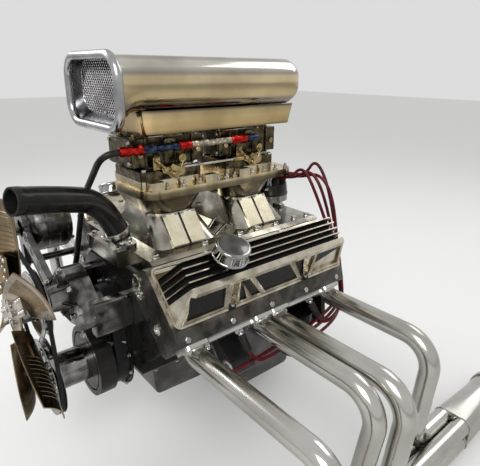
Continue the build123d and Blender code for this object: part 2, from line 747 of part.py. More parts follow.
# Intake base: a valley plate that seats on both heads, and two towers with a pair of runners on each side
face_low = bank_xz(-HEAD_INNER, DECK_HEIGHT)
face_high = bank_xz(*INTAKE_FACE_TOP)
intake_front, intake_back = [bank_y(place) for place in INTAKE_BASE_ENDS]
tower_foot = INTAKE_BASE_TOP - TOWER_SINK
tower_slope = Vector(TOWER_TOP_HALF - TOWER_FOOT_HALF, TOWER_TOP - tower_foot)
with BuildPart() as intake_base:
    with BuildSketch(front_plane(intake_back)):
        with BuildLine():
            Polyline(
                (0, face_low[1] + SEAT),
                (face_low[0] - SEAT, face_low[1] + SEAT),
                (face_high[0] - SEAT, face_high[1]),
                (face_high[0] - INTAKE_SHOULDER, INTAKE_BASE_TOP),
                (0, INTAKE_BASE_TOP),
            )
            mirror(about=Plane.YZ)
        make_face()
    extrude(amount=intake_back - intake_front)
    with BuildSketch(Plane.XY.offset(INTAKE_BASE_TOP)):
        with Locations((0, bank_y(CROSSOVER_PLACE))):
            Rectangle(2 * CROSSOVER_HALF, -CROSSOVER_PLACE, align=(Align.CENTER, Align.MIN))
    extrude(amount=-CROSSOVER_THICKNESS)
    for place in TOWER_PLACES:
        with BuildSketch(Plane.XY.offset(tower_foot)):
            with Locations((0, bank_y(place))):
                RectangleRounded(2 * TOWER_FOOT_HALF, TOWER_FOOT_LENGTH, TOWER_FOOT_CORNER)
        with BuildSketch(Plane.XY.offset(TOWER_TOP)):
            with Locations((0, bank_y(place))):
                RectangleRounded(2 * TOWER_TOP_HALF, TOWER_LENGTH, TOWER_TOP_CORNER)
        loft()
        for side in (-1, 1):
            runner_plane = Plane(
                origin=(side * TOWER_FOOT_HALF, bank_y(place), tower_foot),
                x_dir=(0, side, 0),
                z_dir=(side * tower_slope.Y, 0, -tower_slope.X),
            )
            with BuildSketch(runner_plane.offset(RUNNER_PROUD)):
                with Locations((0, tower_slope.length / 2)):
                    with GridLocations(RUNNER_SPACING, 0, 2, 1):
                        Rectangle(RUNNER_WIDTH, tower_slope.length - 2 * RUNNER_MARGIN)
            extrude(amount=-RUNNER_PROUD - INTAKE_SHOULDER)
save(intake_base.part, "intake_base")

# Plenum: two bowls under a long tub, with blocks along its rim and a pad for each carburettor
joint_width = 2 * (TOWER_TOP_HALF + BOWL_MARGIN)
joint_length = TOWER_LENGTH + 2 * BOWL_MARGIN
with BuildPart() as intake_plenum:
    for place in TOWER_PLACES:
        with BuildSketch(Plane.XY.offset(TOWER_TOP + SEAT)):
            with Locations((0, bank_y(place))):
                RectangleRounded(joint_width, joint_length, TOWER_TOP_CORNER + BOWL_MARGIN)
        with BuildSketch(Plane.XY.offset(PLENUM_WAIST)):
            with Locations((0, bank_y(place))):
                RectangleRounded(2 * PLENUM_HALF, BOWL_LENGTH, PLENUM_CORNER)
        loft()
    with BuildSketch(Plane.XY.offset(PLENUM_WAIST)):
        with Locations((0, (plenum_front + plenum_back) / 2)):
            RectangleRounded(2 * PLENUM_HALF, plenum_back - plenum_front, PLENUM_CORNER)
    extrude(amount=PLENUM_RIM - PLENUM_WAIST)
    with BuildSketch(Plane.XY.offset(PLENUM_RIM)):
        for place in CARBURETTOR_PLACES:
            with Locations((0, bank_y(place))):
                RectangleRounded(CARBURETTOR_WIDTH, CARBURETTOR_LENGTH, CARBURETTOR_CORNER)
        for place in RIM_BLOCK_PLACES:
            with Locations((PLENUM_HALF, bank_y(place))):
                Rectangle(RIM_BLOCK_DEPTH, RIM_BLOCK_LENGTH, align=(Align.MAX, Align.CENTER))
            with Locations((-PLENUM_HALF, bank_y(place))):
                Rectangle(RIM_BLOCK_DEPTH, RIM_BLOCK_LENGTH, align=(Align.MIN, Align.CENTER))
    extrude(amount=PLENUM_TOP - PLENUM_RIM)
save(intake_plenum.part, "intake_plenum")

# Carburettors: throttle body, main body with a float bowl at each end, and an air horn
for name, place in zip(("carburettor_front", "carburettor_rear"), CARBURETTOR_PLACES):
    centre = bank_y(place)
    with BuildPart() as carburettor:
        with BuildSketch(Plane.XY.offset(PLENUM_TOP)):
            with Locations((0, centre)):
                RectangleRounded(CARBURETTOR_WIDTH, CARBURETTOR_LENGTH, CARBURETTOR_CORNER)
        extrude(amount=THROTTLE_BODY)
        with BuildSketch(Plane.XY.offset(PLENUM_TOP + THROTTLE_BODY)):
            with Locations((0, centre)):
                Rectangle(CARBURETTOR_WIDTH - 2 * MAIN_BODY_INSET, CARBURETTOR_LENGTH - FLOAT_BOWL_LENGTH)
        extrude(amount=CARBURETTOR_TOP - PLENUM_TOP - THROTTLE_BODY)
        with BuildSketch(Plane.XY.offset(CARBURETTOR_TOP - AIR_HORN_HEIGHT)):
            with Locations((0, centre)):
                Circle(AIR_HORN_RADIUS)
        extrude(amount=AIR_HORN_HEIGHT)
        for end in (-1, 1):
            with BuildSketch(Plane.XY.offset(PLENUM_TOP + FLOAT_BOWL_LOW)):
                with Locations((0, centre + end * (CARBURETTOR_LENGTH / 2 - FLOAT_BOWL_LAP))):
                    RectangleRounded(
                        CARBURETTOR_WIDTH - 2 * FLOAT_BOWL_INSET, FLOAT_BOWL_LENGTH, FLOAT_BOWL_CORNER
                    )
            extrude(amount=FLOAT_BOWL_HEIGHT)
    save(carburettor.part, name)

# Scoop base: a hollow box from the air horns to the scoop's floor
scoop_base_length = SCOOP_BASE_ENDS[1] - SCOOP_BASE_ENDS[0]
scoop_base_middle = bank_y(sum(SCOOP_BASE_ENDS) / 2)
inset = SCOOP_BASE_TAPER + SCOOP_BASE_WALL
inside_width = 2 * (SCOOP_BASE_HALF - inset)
inside_length = scoop_base_length - 2 * inset
with BuildPart() as scoop_base:
    with BuildSketch(Plane.XY.offset(CARBURETTOR_TOP + SEAT)):
        with Locations((0, scoop_base_middle)):
            RectangleRounded(
                2 * (SCOOP_BASE_HALF - SCOOP_BASE_TAPER),
                scoop_base_length - 2 * SCOOP_BASE_TAPER,
                SCOOP_BASE_CORNER - SCOOP_BASE_WALL,
            )
    with BuildSketch(Plane.XY.offset(SCOOP_BASE_TOP)):
        with Locations((0, scoop_base_middle)):
            RectangleRounded(2 * SCOOP_BASE_HALF, scoop_base_length, SCOOP_BASE_CORNER)
    loft()
    with BuildSketch(Plane.XY.offset(CARBURETTOR_TOP + SCOOP_BASE_FLOOR)):
        with Locations((0, scoop_base_middle)):
            RectangleRounded(inside_width, inside_length, SCOOP_BASE_CORNER - SCOOP_BASE_TAPER)
    extrude(until=Until.LAST, mode=Mode.SUBTRACT)
    with BuildSketch(Plane.XY.offset(CARBURETTOR_TOP)):
        for place in CARBURETTOR_PLACES:
            with Locations((0, bank_y(place))):
                Circle(AIR_HORN_RADIUS - SCOOP_BASE_FLOOR)
    extrude(amount=SCOOP_BASE_TAPER, mode=Mode.SUBTRACT)
save(scoop_base.part, "scoop_base")

# Scoop: a flared mouth with a rolled lip, a long rounded body closed at the back, hollow inside
mouth_plane = front_plane(scoop_mouth_y)
body_plane = front_plane(flare_end_y)
body_middle = SCOOP_BASE_TOP + SCOOP_BODY_HEIGHT / 2
mouth_size = Vector(SCOOP_MOUTH_WIDTH, SCOOP_MOUTH_HEIGHT)
body_size = Vector(SCOOP_BODY_WIDTH, SCOOP_BODY_HEIGHT)
both_walls = Vector(2 * SCOOP_WALL, 2 * SCOOP_WALL)
with BuildPart() as scoop:
    with BuildSketch(mouth_plane) as mouth:
        with Locations((0, SCOOP_MOUTH_Z)):
            RectangleRounded(mouth_size.X, mouth_size.Y, SCOOP_CORNER)
    lip_path = mouth.sketch.wire()
    with BuildSketch(body_plane):
        with Locations((0, body_middle)):
            RectangleRounded(body_size.X, body_size.Y, SCOOP_CORNER)
    loft()
    with BuildSketch(body_plane):
        with Locations((0, body_middle)):
            RectangleRounded(body_size.X, body_size.Y, SCOOP_CORNER)
    extrude(amount=flare_end_y - scoop_back)
    fillet(scoop.faces().sort_by(Axis.Y)[-1].edges(), SCOOP_BACK_ROUNDING)
    with BuildSketch(mouth_plane.offset(SCOOP_WALL)):
        with Locations((0, SCOOP_MOUTH_Z)):
            mouth_inside = mouth_size - both_walls
            RectangleRounded(mouth_inside.X, mouth_inside.Y, SCOOP_CORNER - SCOOP_WALL)
    with BuildSketch(body_plane):
        with Locations((0, body_middle)):
            body_inside = body_size - both_walls
            RectangleRounded(body_inside.X, body_inside.Y, SCOOP_CORNER - SCOOP_WALL)
    loft(mode=Mode.SUBTRACT)
    with BuildSketch(body_plane):
        with Locations((0, body_middle)):
            RectangleRounded(body_inside.X, body_inside.Y, SCOOP_CORNER - SCOOP_WALL)
    extrude(amount=flare_end_y - scoop_back + SCOOP_BACK_ROUNDING, mode=Mode.SUBTRACT)
    with BuildSketch(Plane.XY.offset(SCOOP_BASE_TOP - SCOOP_WALL)):
        with Locations((0, scoop_base_middle)):
            RectangleRounded(inside_width, inside_length, SCOOP_BASE_CORNER - SCOOP_BASE_TAPER)
    extrude(amount=3 * SCOOP_WALL, mode=Mode.SUBTRACT)
    with BuildSketch(Plane(origin=lip_path @ 0, z_dir=lip_path % 0)):
        Circle(SCOOP_LIP)
    sweep(path=lip_path)
save(scoop.part, "scoop")

# Screen across the scoop's throat: a thin plate with rows of diamond holes
throat = SCREEN_SETBACK / (flare_end_y - scoop_mouth_y)
screen_size = mouth_size * (1 - throat) + body_size * throat - both_walls - Vector(4 * SEAT, 4 * SEAT)
screen_middle = SCOOP_MOUTH_Z + throat * (body_middle - SCOOP_MOUTH_Z)
with BuildPart() as scoop_screen:
    with BuildSketch(mouth_plane.offset(-SCREEN_SETBACK)):
        with Locations((0, screen_middle)):
            RectangleRounded(screen_size.X, screen_size.Y, SCOOP_CORNER - SCOOP_WALL - SEAT)
            with GridLocations(SCREEN_PITCH, SCREEN_ROW, SCREEN_COLUMNS, SCREEN_ROWS):
                RegularPolygon(SCREEN_HOLE, 4, mode=Mode.SUBTRACT)
    extrude(amount=SCREEN_THICKNESS)
save(scoop_screen.part, "scoop_screen")


def revolved(x, z, profile):
    """A turned piece about an axis along Y. The profile gives Y and radius in turn."""
    middle = Plane(origin=(x, 0, z), x_dir=(0, 1, 0), z_dir=(1, 0, 0))
    with BuildPart() as piece:
        with BuildSketch(middle):
            with BuildLine():
                Polyline(*profile, close=True)
            make_face()
        revolve(axis=Axis((x, 0, z), (0, 1, 0)))
    return piece.part


def pulley_profile(radius, hub_radius, back):
    """Half section of a pulley: a grooved rim in the belt's plane, a web and a hub that ends at back."""
    front = belt_plane - PULLEY_WIDTH / 2
    rear = belt_plane + PULLEY_WIDTH / 2
    floor = radius - GROOVE_DEPTH
    return [
        (front, 0),
        (front, radius),
        (belt_plane - GROOVE_TOP, radius),
        (belt_plane - GROOVE_FLOOR, floor),
        (belt_plane + GROOVE_FLOOR, floor),
        (belt_plane + GROOVE_TOP, radius),
        (rear, radius),
        (rear, hub_radius),
        (back, hub_radius),
        (back, 0),
    ]


# Crankshaft: the flange in the rear seal and the snout in the timing cover, all that shows of it
with BuildPart() as crankshaft:
    with BuildSketch(front_plane(CRANK_FLANGE_BACK)):
        Circle(CRANK_FLANGE)
    extrude(amount=CRANK_FLANGE_BACK + BELL_THICKNESS - RUNNING_GAP)
    with BuildSketch(front_plane(-BLOCK_LENGTH - RUNNING_GAP)):
        Circle(CRANK_SNOUT)
    extrude(amount=-BLOCK_LENGTH - RUNNING_GAP - damper_back)
save(crankshaft.part, "crankshaft")

ring_outer, ring_inner, ring_depth = DAMPER_RING
with BuildPart() as crank_damper:
    with BuildSketch(front_plane(damper_back)):
        Circle(DAMPER_RADIUS)
    extrude(amount=DAMPER_WIDTH)
    with BuildSketch(front_plane(damper_back - DAMPER_WIDTH)):
        Circle(ring_outer)
        Circle(ring_inner, mode=Mode.SUBTRACT)
    extrude(amount=-ring_depth, mode=Mode.SUBTRACT)
save(crank_damper.part, "crank_damper")
damper_front = damper_back - DAMPER_WIDTH
save(revolved(0, 0, pulley_profile(CRANK_PULLEY_RADIUS, CRANK_PULLEY_HUB, damper_front)), "crank_pulley")

# Flexplate: a disc with a ring gear, converter holes and round windows
with BuildPart() as flexplate:
    with BuildSketch(front_plane(CRANK_FLANGE_BACK + FLEXPLATE_THICKNESS)):
        Circle(FLEXPLATE_RADIUS)
        with PolarLocations(FLEXPLATE_WINDOW_CIRCLE, 6):
            Circle(FLEXPLATE_WINDOW, mode=Mode.SUBTRACT)
        with PolarLocations(CONVERTER_CIRCLE, 3, start_angle=30):
            Circle(CONVERTER_HOLE, mode=Mode.SUBTRACT)
    extrude(amount=FLEXPLATE_THICKNESS)
    with BuildSketch(front_plane(CRANK_FLANGE_BACK + RING_WIDTH)):
        Circle(FLEXPLATE_RADIUS + RING_DEPTH)
        Circle(FLEXPLATE_RADIUS - RING_LAP, mode=Mode.SUBTRACT)
    extrude(amount=RING_WIDTH)
save(flexplate.part, "flexplate")

# Water pump: a round housing on two legs, with a snout for the fan's shaft and a hose inlet
pump_back = -BLOCK_LENGTH - PUMP_LEG
pump_front = pump_back - PUMP_BODY
with BuildPart() as water_pump:
    for side in (-1, 1):
        with BuildSketch(front_plane(-BLOCK_LENGTH)):
            with Locations((side * PUMP_LEG_X, PUMP_LEG_Z)):
                RectangleRounded(PUMP_LEG_WIDTH, PUMP_LEG_HEIGHT, PUMP_LEG_CORNER)
        extrude(amount=PUMP_LEG + PUMP_BODY / 2)
    with BuildSketch(front_plane(pump_back)):
        with Locations((0, PUMP_HEIGHT)):
            Circle(PUMP_HOUSING)
        for side in (-1, 1):
            with Locations((side * PUMP_LEG_X, PUMP_LEG_Z)):
                Circle(PUMP_LEG_WIDTH / 2)
        make_hull()
    extrude(amount=PUMP_BODY)
    with BuildSketch(front_plane(pump_front)):
        with Locations((0, PUMP_HEIGHT)):
            Circle(PUMP_SNOUT)
    extrude(amount=PUMP_SNOUT_LENGTH, taper=8)
    with BuildSketch(side_plane(0)):
        with Locations((pump_back - PUMP_BODY / 2, PUMP_INLET_Z)):
            Circle(PUMP_COLLAR)
    extrude(amount=-PUMP_COLLAR_REACH)
    with BuildSketch(side_plane(0)):
        with Locations((pump_back - PUMP_BODY / 2, PUMP_INLET_Z)):
            Circle(PUMP_INLET)
    extrude(amount=-PUMP_INLET_REACH)
    with BuildSketch(front_plane(pump_front - PUMP_SNOUT_LENGTH)):
        with Locations((0, PUMP_HEIGHT)):
            Circle(PUMP_SHAFT + SHAFT_CLEARANCE)
    extrude(amount=-PUMP_SHAFT_DEPTH - RUNNING_GAP, mode=Mode.SUBTRACT)
save(water_pump.part, "water_pump")

# Fan drive: pump shaft and pulley, with a spacer that carries the fan
hub_back = pump_front - PUMP_SNOUT_LENGTH - RUNNING_GAP
with BuildPart() as pump_pulley:
    add(revolved(0, PUMP_HEIGHT, pulley_profile(PUMP_PULLEY_RADIUS, FAN_FLANGE, hub_back)))
    with BuildSketch(front_plane(hub_back)):
        with Locations((0, PUMP_HEIGHT)):
            Circle(PUMP_SHAFT)
    extrude(amount=-PUMP_SHAFT_DEPTH)
    with BuildSketch(front_plane(belt_plane - PULLEY_WIDTH / 2)):
        with Locations((0, PUMP_HEIGHT)):
            Circle(FAN_SPACER)
    extrude(amount=belt_plane - PULLEY_WIDTH / 2 - fan_y - FAN_PLATE / 2)
save(pump_pulley.part, "pump_pulley")

# Fan: cambered blades on the arms of a flat spider
with BuildPart() as fan:
    with BuildSketch(front_plane(fan_y + FAN_PLATE / 2)):
        with Locations((0, PUMP_HEIGHT)):
            Circle(FAN_HUB)
            with PolarLocations(FAN_HUB, FAN_BLADES, start_angle=30):
                Rectangle(2 * FAN_ARM, FAN_ARM_WIDTH)
    extrude(amount=FAN_PLATE)
    for blade in range(FAN_BLADES):
        turn = Location((0, fan_y, PUMP_HEIGHT)) * Rotation(0, blade * 360 / FAN_BLADES, 0)
        for radius, width, pitch in FAN_SECTIONS:
            cut = Plane(turn * Location((0, 0, radius)) * Rotation(0, 0, pitch))
            with BuildSketch(cut):
                with BuildLine():
                    SagittaArc((-width / 2, 0), (width / 2, 0), FAN_CAMBER)
                    offset(amount=FAN_SHEET / 2)
                make_face()
        loft()
save(fan.part, "fan")

# Alternator: a turned housing, its pulley and the bracket plate in front of it
alternator_profile = [
    (alternator_front, ALTERNATOR_SHAFT + SHAFT_CLEARANCE),
    (alternator_front, ALTERNATOR_RADIUS - ALTERNATOR_NOSE),
    (alternator_front + ALTERNATOR_NOSE, ALTERNATOR_RADIUS),
    (alternator_back - ALTERNATOR_HEEL, ALTERNATOR_RADIUS),
    (alternator_back, ALTERNATOR_RADIUS - ALTERNATOR_HEEL),
    (alternator_back, 0),
    (alternator_front + ALTERNATOR_BORE, 0),
    (alternator_front + ALTERNATOR_BORE, ALTERNATOR_SHAFT + SHAFT_CLEARANCE),
]
save(revolved(ALTERNATOR_X, ALTERNATOR_Z, alternator_profile), "alternator")
with BuildPart() as alternator_pulley:
    rim = pulley_profile(ALTERNATOR_PULLEY_RADIUS, ALTERNATOR_HUB, bracket_front - RUNNING_GAP)
    add(revolved(ALTERNATOR_X, ALTERNATOR_Z, rim))
    with BuildSketch(front_plane(bracket_front - RUNNING_GAP)):
        with Locations((ALTERNATOR_X, ALTERNATOR_Z)):
            Circle(ALTERNATOR_SHAFT)
    extrude(amount=bracket_front - RUNNING_GAP - alternator_front - ALTERNATOR_BORE + RUNNING_GAP)
save(alternator_pulley.part, "alternator_pulley")

right_head_front = bank_y(BANK_SETBACK - HEAD_LENGTH / 2)
with BuildPart() as alternator_bracket:
    with BuildSketch(front_plane(alternator_front - SEAT)):
        with Locations(BRACKET_FOOT):
            Circle(BRACKET_END)
        with Locations(BRACKET_TIP):
            Circle(BRACKET_END)
        make_hull()
        with Locations((ALTERNATOR_X, ALTERNATOR_Z)):
            Circle(BRACKET_BOSS)
        with Locations(BRACKET_LEG):
            Circle(BRACKET_LEG_RADIUS)
            Rectangle(2 * BRACKET_LEG_RADIUS, ALTERNATOR_Z - BRACKET_LEG[1], align=(Align.CENTER, Align.MIN))
        with Locations((ALTERNATOR_X, ALTERNATOR_Z)):
            Circle(ALTERNATOR_HUB + RUNNING_GAP, mode=Mode.SUBTRACT)
    extrude(amount=alternator_front - SEAT - bracket_front)
    with BuildSketch(front_plane(alternator_front - SEAT)):
        with Locations(BRACKET_LEG):
            Circle(BRACKET_STANDOFF)
    extrude(amount=alternator_front - right_head_front)
save(alternator_bracket.part, "alternator_bracket")

# Belt round the crank, pump and alternator pulleys
pulleys = (
    (0, 0, CRANK_PULLEY_RADIUS),
    (0, PUMP_HEIGHT, PUMP_PULLEY_RADIUS),
    (ALTERNATOR_X, ALTERNATOR_Z, ALTERNATOR_PULLEY_RADIUS),
)
with BuildPart() as fan_belt:
    for inset, mode in ((BELT_INSET, Mode.ADD), (BELT_INSET + BELT_HEIGHT, Mode.SUBTRACT)):
        with BuildSketch(front_plane(belt_plane)):
            for x, z, radius in pulleys:
                with Locations((x, z)):
                    Circle(radius - inset)
            make_hull()
        extrude(amount=BELT_WIDTH / 2, both=True, mode=mode)
save(fan_belt.part, "fan_belt")

# Water neck, its hose to the radiator and the clamp on it
neck_y = bank_y(NECK_PLACE)
hose_route = [(x, bank_y(place), z) for x, place, z in HOSE_ROUTE]
neck_foot = Vector(NECK_X, neck_y, INTAKE_BASE_TOP + NECK_FLANGE)
neck_direction = (Vector(hose_route[0]) - neck_foot).normalized()
neck_end = neck_foot + neck_direction * NECK_LENGTH
hose_start = neck_end - neck_direction * HOSE_GRIP
neck_radius = HOSE_RADIUS - HOSE_WALL - SHAFT_CLEARANCE
with BuildPart() as water_neck:
    with BuildSketch(Plane.XY.offset(INTAKE_BASE_TOP)):
        with Locations((NECK_X, neck_y)):
            SlotOverall(NECK_FLANGE_LENGTH, NECK_FLANGE_WIDTH)
    extrude(amount=NECK_FLANGE)
    with BuildSketch(Plane(origin=neck_end, z_dir=-neck_direction)):
        Circle(neck_radius)
    extrude(until=Until.NEXT)
    with BuildSketch(Plane(origin=neck_end, z_dir=-neck_direction)):
        Circle(neck_radius - NECK_WALL)
    extrude(amount=NECK_LENGTH - NECK_WALL, mode=Mode.SUBTRACT)
save(water_neck.part, "water_neck")

with BuildPart() as radiator_hose:
    add(tube_along([hose_start, *hose_route], HOSE_BENDS, HOSE_RADIUS, HOSE_WALL))
save(radiator_hose.part, "radiator_hose")

with BuildPart() as hose_clamp:
    with BuildSketch(Plane(origin=hose_start + neck_direction * CLAMP_PLACE, z_dir=neck_direction)):
        Circle(HOSE_RADIUS + CLAMP_BAND)
        with Locations((-HOSE_RADIUS - CLAMP_BAND, 0)):
            Rectangle(*CLAMP_BOX)
        Circle(HOSE_RADIUS, mode=Mode.SUBTRACT)
    extrude(amount=CLAMP_WIDTH)
save(hose_clamp.part, "hose_clamp")

# Distributor under the plenum's back end, with a towered cap
with BuildPart() as distributor:
    with BuildSketch(Plane.XY.offset(INTAKE_BASE_TOP)):
        with Locations((0, distributor_y)):
            Circle(DISTRIBUTOR_STEM)
    extrude(amount=DISTRIBUTOR_RISE)
    with BuildSketch(Plane.XY.offset(INTAKE_BASE_TOP + DISTRIBUTOR_RISE)):
        with Locations((0, distributor_y)):
            Circle(DISTRIBUTOR_RADIUS)
    extrude(amount=DISTRIBUTOR_BOWL)
save(distributor.part, "distributor")
cap_base = INTAKE_BASE_TOP + DISTRIBUTOR_RISE + DISTRIBUTOR_BOWL
with BuildPart() as distributor_cap:
    with BuildSketch(Plane.XY.offset(cap_base)):
        with Locations((0, distributor_y)):
            Circle(DISTRIBUTOR_RADIUS)
    extrude(amount=CAP_HEIGHT, taper=6)
    with BuildSketch(Plane.XY.offset(cap_base + CAP_HEIGHT)):
        with Locations((0, distributor_y)):
            with PolarLocations(CAP_TOWER_CIRCLE, 8, start_angle=22.5):
                Circle(CAP_TOWER)
    extrude(amount=CAP_TOWER_HEIGHT)
save(distributor_cap.part, "distributor_cap")

# Spark plugs with their boots, four a side, under the header flanges
plug_plane_x, plug_plane_z = bank_xz(EXHAUST_FACE + SEAT, 0)
plug_plane = Plane(
    origin=(plug_plane_x, BANK_CENTRE_Y, plug_plane_z), x_dir=(0, 1, 0), z_dir=bank_vector(1, 0)
)
with BuildPart() as spark_plugs_left:
    with BuildSketch(plug_plane):
        for along in PLUG_OFFSETS:
            with Locations((along, PLUG_HEIGHT)):
                Circle(PLUG_RADIUS)
    extrude(amount=PLUG_LENGTH)
save(spark_plugs_left.part, "spark_plugs_left")
save(on_right_bank(spark_plugs_left.part), "spark_plugs_right")

# Plug wires: out from the cap under the tub, over in a loop, down behind the head and forward to the plugs
boot_end = EXHAUST_FACE + 2 * SEAT + PLUG_LENGTH
plug_end_x, plug_end_z = bank_xz(boot_end, PLUG_HEIGHT)
turn_x, turn_z = bank_xz(boot_end + WIRE_END, PLUG_HEIGHT)
tower_top = cap_base + CAP_HEIGHT + CAP_TOWER_HEIGHT
fall_out, fall_back, fall_down = WIRE_FALL
drop_x, drop_place, drop_height = WIRE_DROP
approach_out, approach_back = WIRE_APPROACH
for name, side, setback in (("plug_wires_left", 1, 0), ("plug_wires_right", -1, BANK_SETBACK)):
    with BuildPart() as plug_wires:
        for (angle, edge, out, up, run), along in zip(PLUG_WIRES, PLUG_OFFSETS):
            start_x = CAP_TOWER_CIRCLE * math.cos(math.radians(angle))
            start_y = distributor_y + CAP_TOWER_CIRCLE * math.sin(math.radians(angle))
            plug_y = bank_y(setback + along)
            route = [
                (side * start_x, start_y, tower_top + SEAT),
                (side * start_x, start_y, WIRE_LEVEL),
                (side * WIRE_EDGE_X, distributor_y + edge, WIRE_LEVEL),
                (side * out, distributor_y + edge + WIRE_BACK, up),
                (side * (out + fall_out), distributor_y + edge + WIRE_BACK + fall_back, up - fall_down),
                (side * drop_x, bank_y(drop_place + setback), run + drop_height),
                (side * WIRE_RUN_X, bank_y(WIRE_RUN_PLACE + setback), run),
                (side * (turn_x + approach_out), plug_y + approach_back, run),
                (side * turn_x, plug_y, turn_z),
                (side * plug_end_x, plug_y, plug_end_z),
            ]
            add(tube_along(route, [WIRE_TURN] * (len(route) - 2), WIRE_RADIUS))
    save(plug_wires.part, name)

# Starter, oil filter and fuel pump low on the block
with BuildPart() as starter:
    with BuildSketch(front_plane(STARTER_BACK)):
        with Locations((STARTER_X, STARTER_Z)):
            Circle(STARTER_RADIUS)
    extrude(amount=STARTER_LENGTH)
    with BuildSketch(front_plane(STARTER_BACK)):
        with Locations((STARTER_X + SOLENOID_PLACE[0], STARTER_Z + SOLENOID_PLACE[1])):
            Circle(SOLENOID_RADIUS)
    extrude(amount=SOLENOID_LENGTH)
save(starter.part, "starter")

with BuildPart() as oil_filter:
    with BuildSketch(Plane.XY.offset(-SEAT)):
        with Locations((FILTER_X, FILTER_Y)):
            Circle(FILTER_RADIUS)
    extrude(amount=-FILTER_LENGTH)
    fillet(oil_filter.faces().sort_by(Axis.Z)[0].edges(), FILTER_ROUNDING)
save(oil_filter.part, "oil_filter")

pump_x = -CRANKCASE_HALF - SEAT - FUEL_PUMP_ARM - FUEL_PUMP_RADIUS + FUEL_PUMP_LAP
stub_end = fuel_pump_y - FUEL_PUMP_RADIUS - FUEL_PUMP_STUB
with BuildPart() as fuel_pump:
    with BuildSketch(side_plane(-CRANKCASE_HALF - SEAT)):
        with Locations((fuel_pump_y, FUEL_PUMP_Z)):
            SlotOverall(*FUEL_PUMP_FLANGE)
    extrude(amount=-FUEL_PUMP_ARM)
    with BuildSketch(Plane.XY.offset(FUEL_PUMP_Z - FUEL_PUMP_HEIGHT / 2)):
        with Locations((pump_x, fuel_pump_y)):
            Circle(FUEL_PUMP_RADIUS)
    extrude(amount=FUEL_PUMP_HEIGHT)
    with BuildSketch(front_plane(fuel_pump_y)):
        with Locations((pump_x, FUEL_PUMP_Z)):
            Circle(FUEL_PUMP_STUB)
    extrude(amount=fuel_pump_y - stub_end)
save(fuel_pump.part, "fuel_pump")

# Engine mounts: a foot on the block's side and an arm with a through bolt's bore
with BuildPart() as engine_mount_left:
    with BuildSketch(front_plane(bank_y(MOUNT_PLACE))):
        with Locations((CRANKCASE_HALF + SEAT + MOUNT_FOOT / 2, MOUNT_FOOT_Z)):
            Rectangle(MOUNT_FOOT, MOUNT_FOOT_HEIGHT)
        with Locations((MOUNT_X, MOUNT_Z)):
            Circle(MOUNT_EYE)
        make_hull()
        with Locations((MOUNT_X, MOUNT_Z)):
            Circle(MOUNT_BOLT, mode=Mode.SUBTRACT)
    extrude(amount=MOUNT_LENGTH / 2, both=True)
save(engine_mount_left.part, "engine_mount_left")
save(mirror(engine_mount_left.part, about=Plane.YZ), "engine_mount_right")

# Fuel line along the left of the carburettors: hose ends, tees and a braided link, then the feed hose
with BuildPart() as fuel_fittings_red:
    for front, back in RED_FITTINGS:
        with BuildSketch(front_plane(bank_y(back))):
            with Locations((FUEL_LINE_X, FUEL_LINE_Z)):
                RegularPolygon(FITTING_RADIUS, 6)
        extrude(amount=back - front)
save(fuel_fittings_red.part, "fuel_fittings_red")
with BuildPart() as fuel_fittings_blue:
    for front, back, branch, reach in BLUE_FITTINGS:
        with BuildSketch(front_plane(bank_y(back))):
            with Locations((FUEL_LINE_X, FUEL_LINE_Z)):
                Circle(TEE_RADIUS)
        extrude(amount=back - front)
        with BuildSketch(side_plane(FUEL_LINE_X)):
            with Locations((bank_y(branch), FUEL_LINE_Z)):
                Circle(BRANCH_RADIUS)
        extrude(amount=reach - FUEL_LINE_X)
save(fuel_fittings_blue.part, "fuel_fittings_blue")
with BuildPart() as fuel_link_hose:
    with BuildSketch(front_plane(bank_y(RED_FITTINGS[2][0]) - SEAT)):
        with Locations((FUEL_LINE_X, FUEL_LINE_Z)):
            Circle(FUEL_HOSE_RADIUS)
    extrude(amount=RED_FITTINGS[2][0] - RED_FITTINGS[1][1] - 2 * SEAT)
save(fuel_link_hose.part, "fuel_link_hose")
with BuildPart() as fuel_feed_hose:
    line_front = bank_y(RED_FITTINGS[0][0])
    line_end = (FUEL_LINE_X, line_front - SEAT, FUEL_LINE_Z)
    lead_end = (FUEL_LINE_X, line_front - FEED_LEAD, FUEL_LINE_Z)
    feed_route = [(x, bank_y(place), z) for x, place, z in FEED_ROUTE]
    pump_end = (pump_x, stub_end - SEAT, FUEL_PUMP_Z)
    add(tube_along([line_end, lead_end, *feed_route, pump_end], FEED_BENDS, FUEL_HOSE_RADIUS))
save(fuel_feed_hose.part, "fuel_feed_hose")

# Throttle linkage: levers on the left of both carburettors, joined by a rod
shaft_z = PLENUM_TOP + THROTTLE_BODY / 2
rod_z = shaft_z + LEVER_RISE
rod_front, rod_back = [bank_y(place) - LEVER_REACH for place in CARBURETTOR_PLACES]
with BuildPart() as throttle_linkage:
    for place in CARBURETTOR_PLACES:
        with BuildSketch(side_plane(CARBURETTOR_WIDTH / 2 + SEAT)):
            with Locations((bank_y(place), shaft_z)):
                Circle(LEVER_BOSS)
            with Locations((bank_y(place) - LEVER_REACH, rod_z)):
                Circle(LEVER_TIP)
            make_hull()
        extrude(amount=LEVER_THICKNESS)
    with BuildSketch(front_plane(rod_back)):
        with Locations((CARBURETTOR_WIDTH / 2 + LEVER_THICKNESS, rod_z)):
            Circle(ROD_RADIUS)
    extrude(amount=rod_back - rod_front)
save(throttle_linkage.part, "throttle_linkage")
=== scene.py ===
import json
from math import cos, hypot, pi, radians, sin, sqrt

import bmesh
import bpy
from mathutils import Matrix, Vector


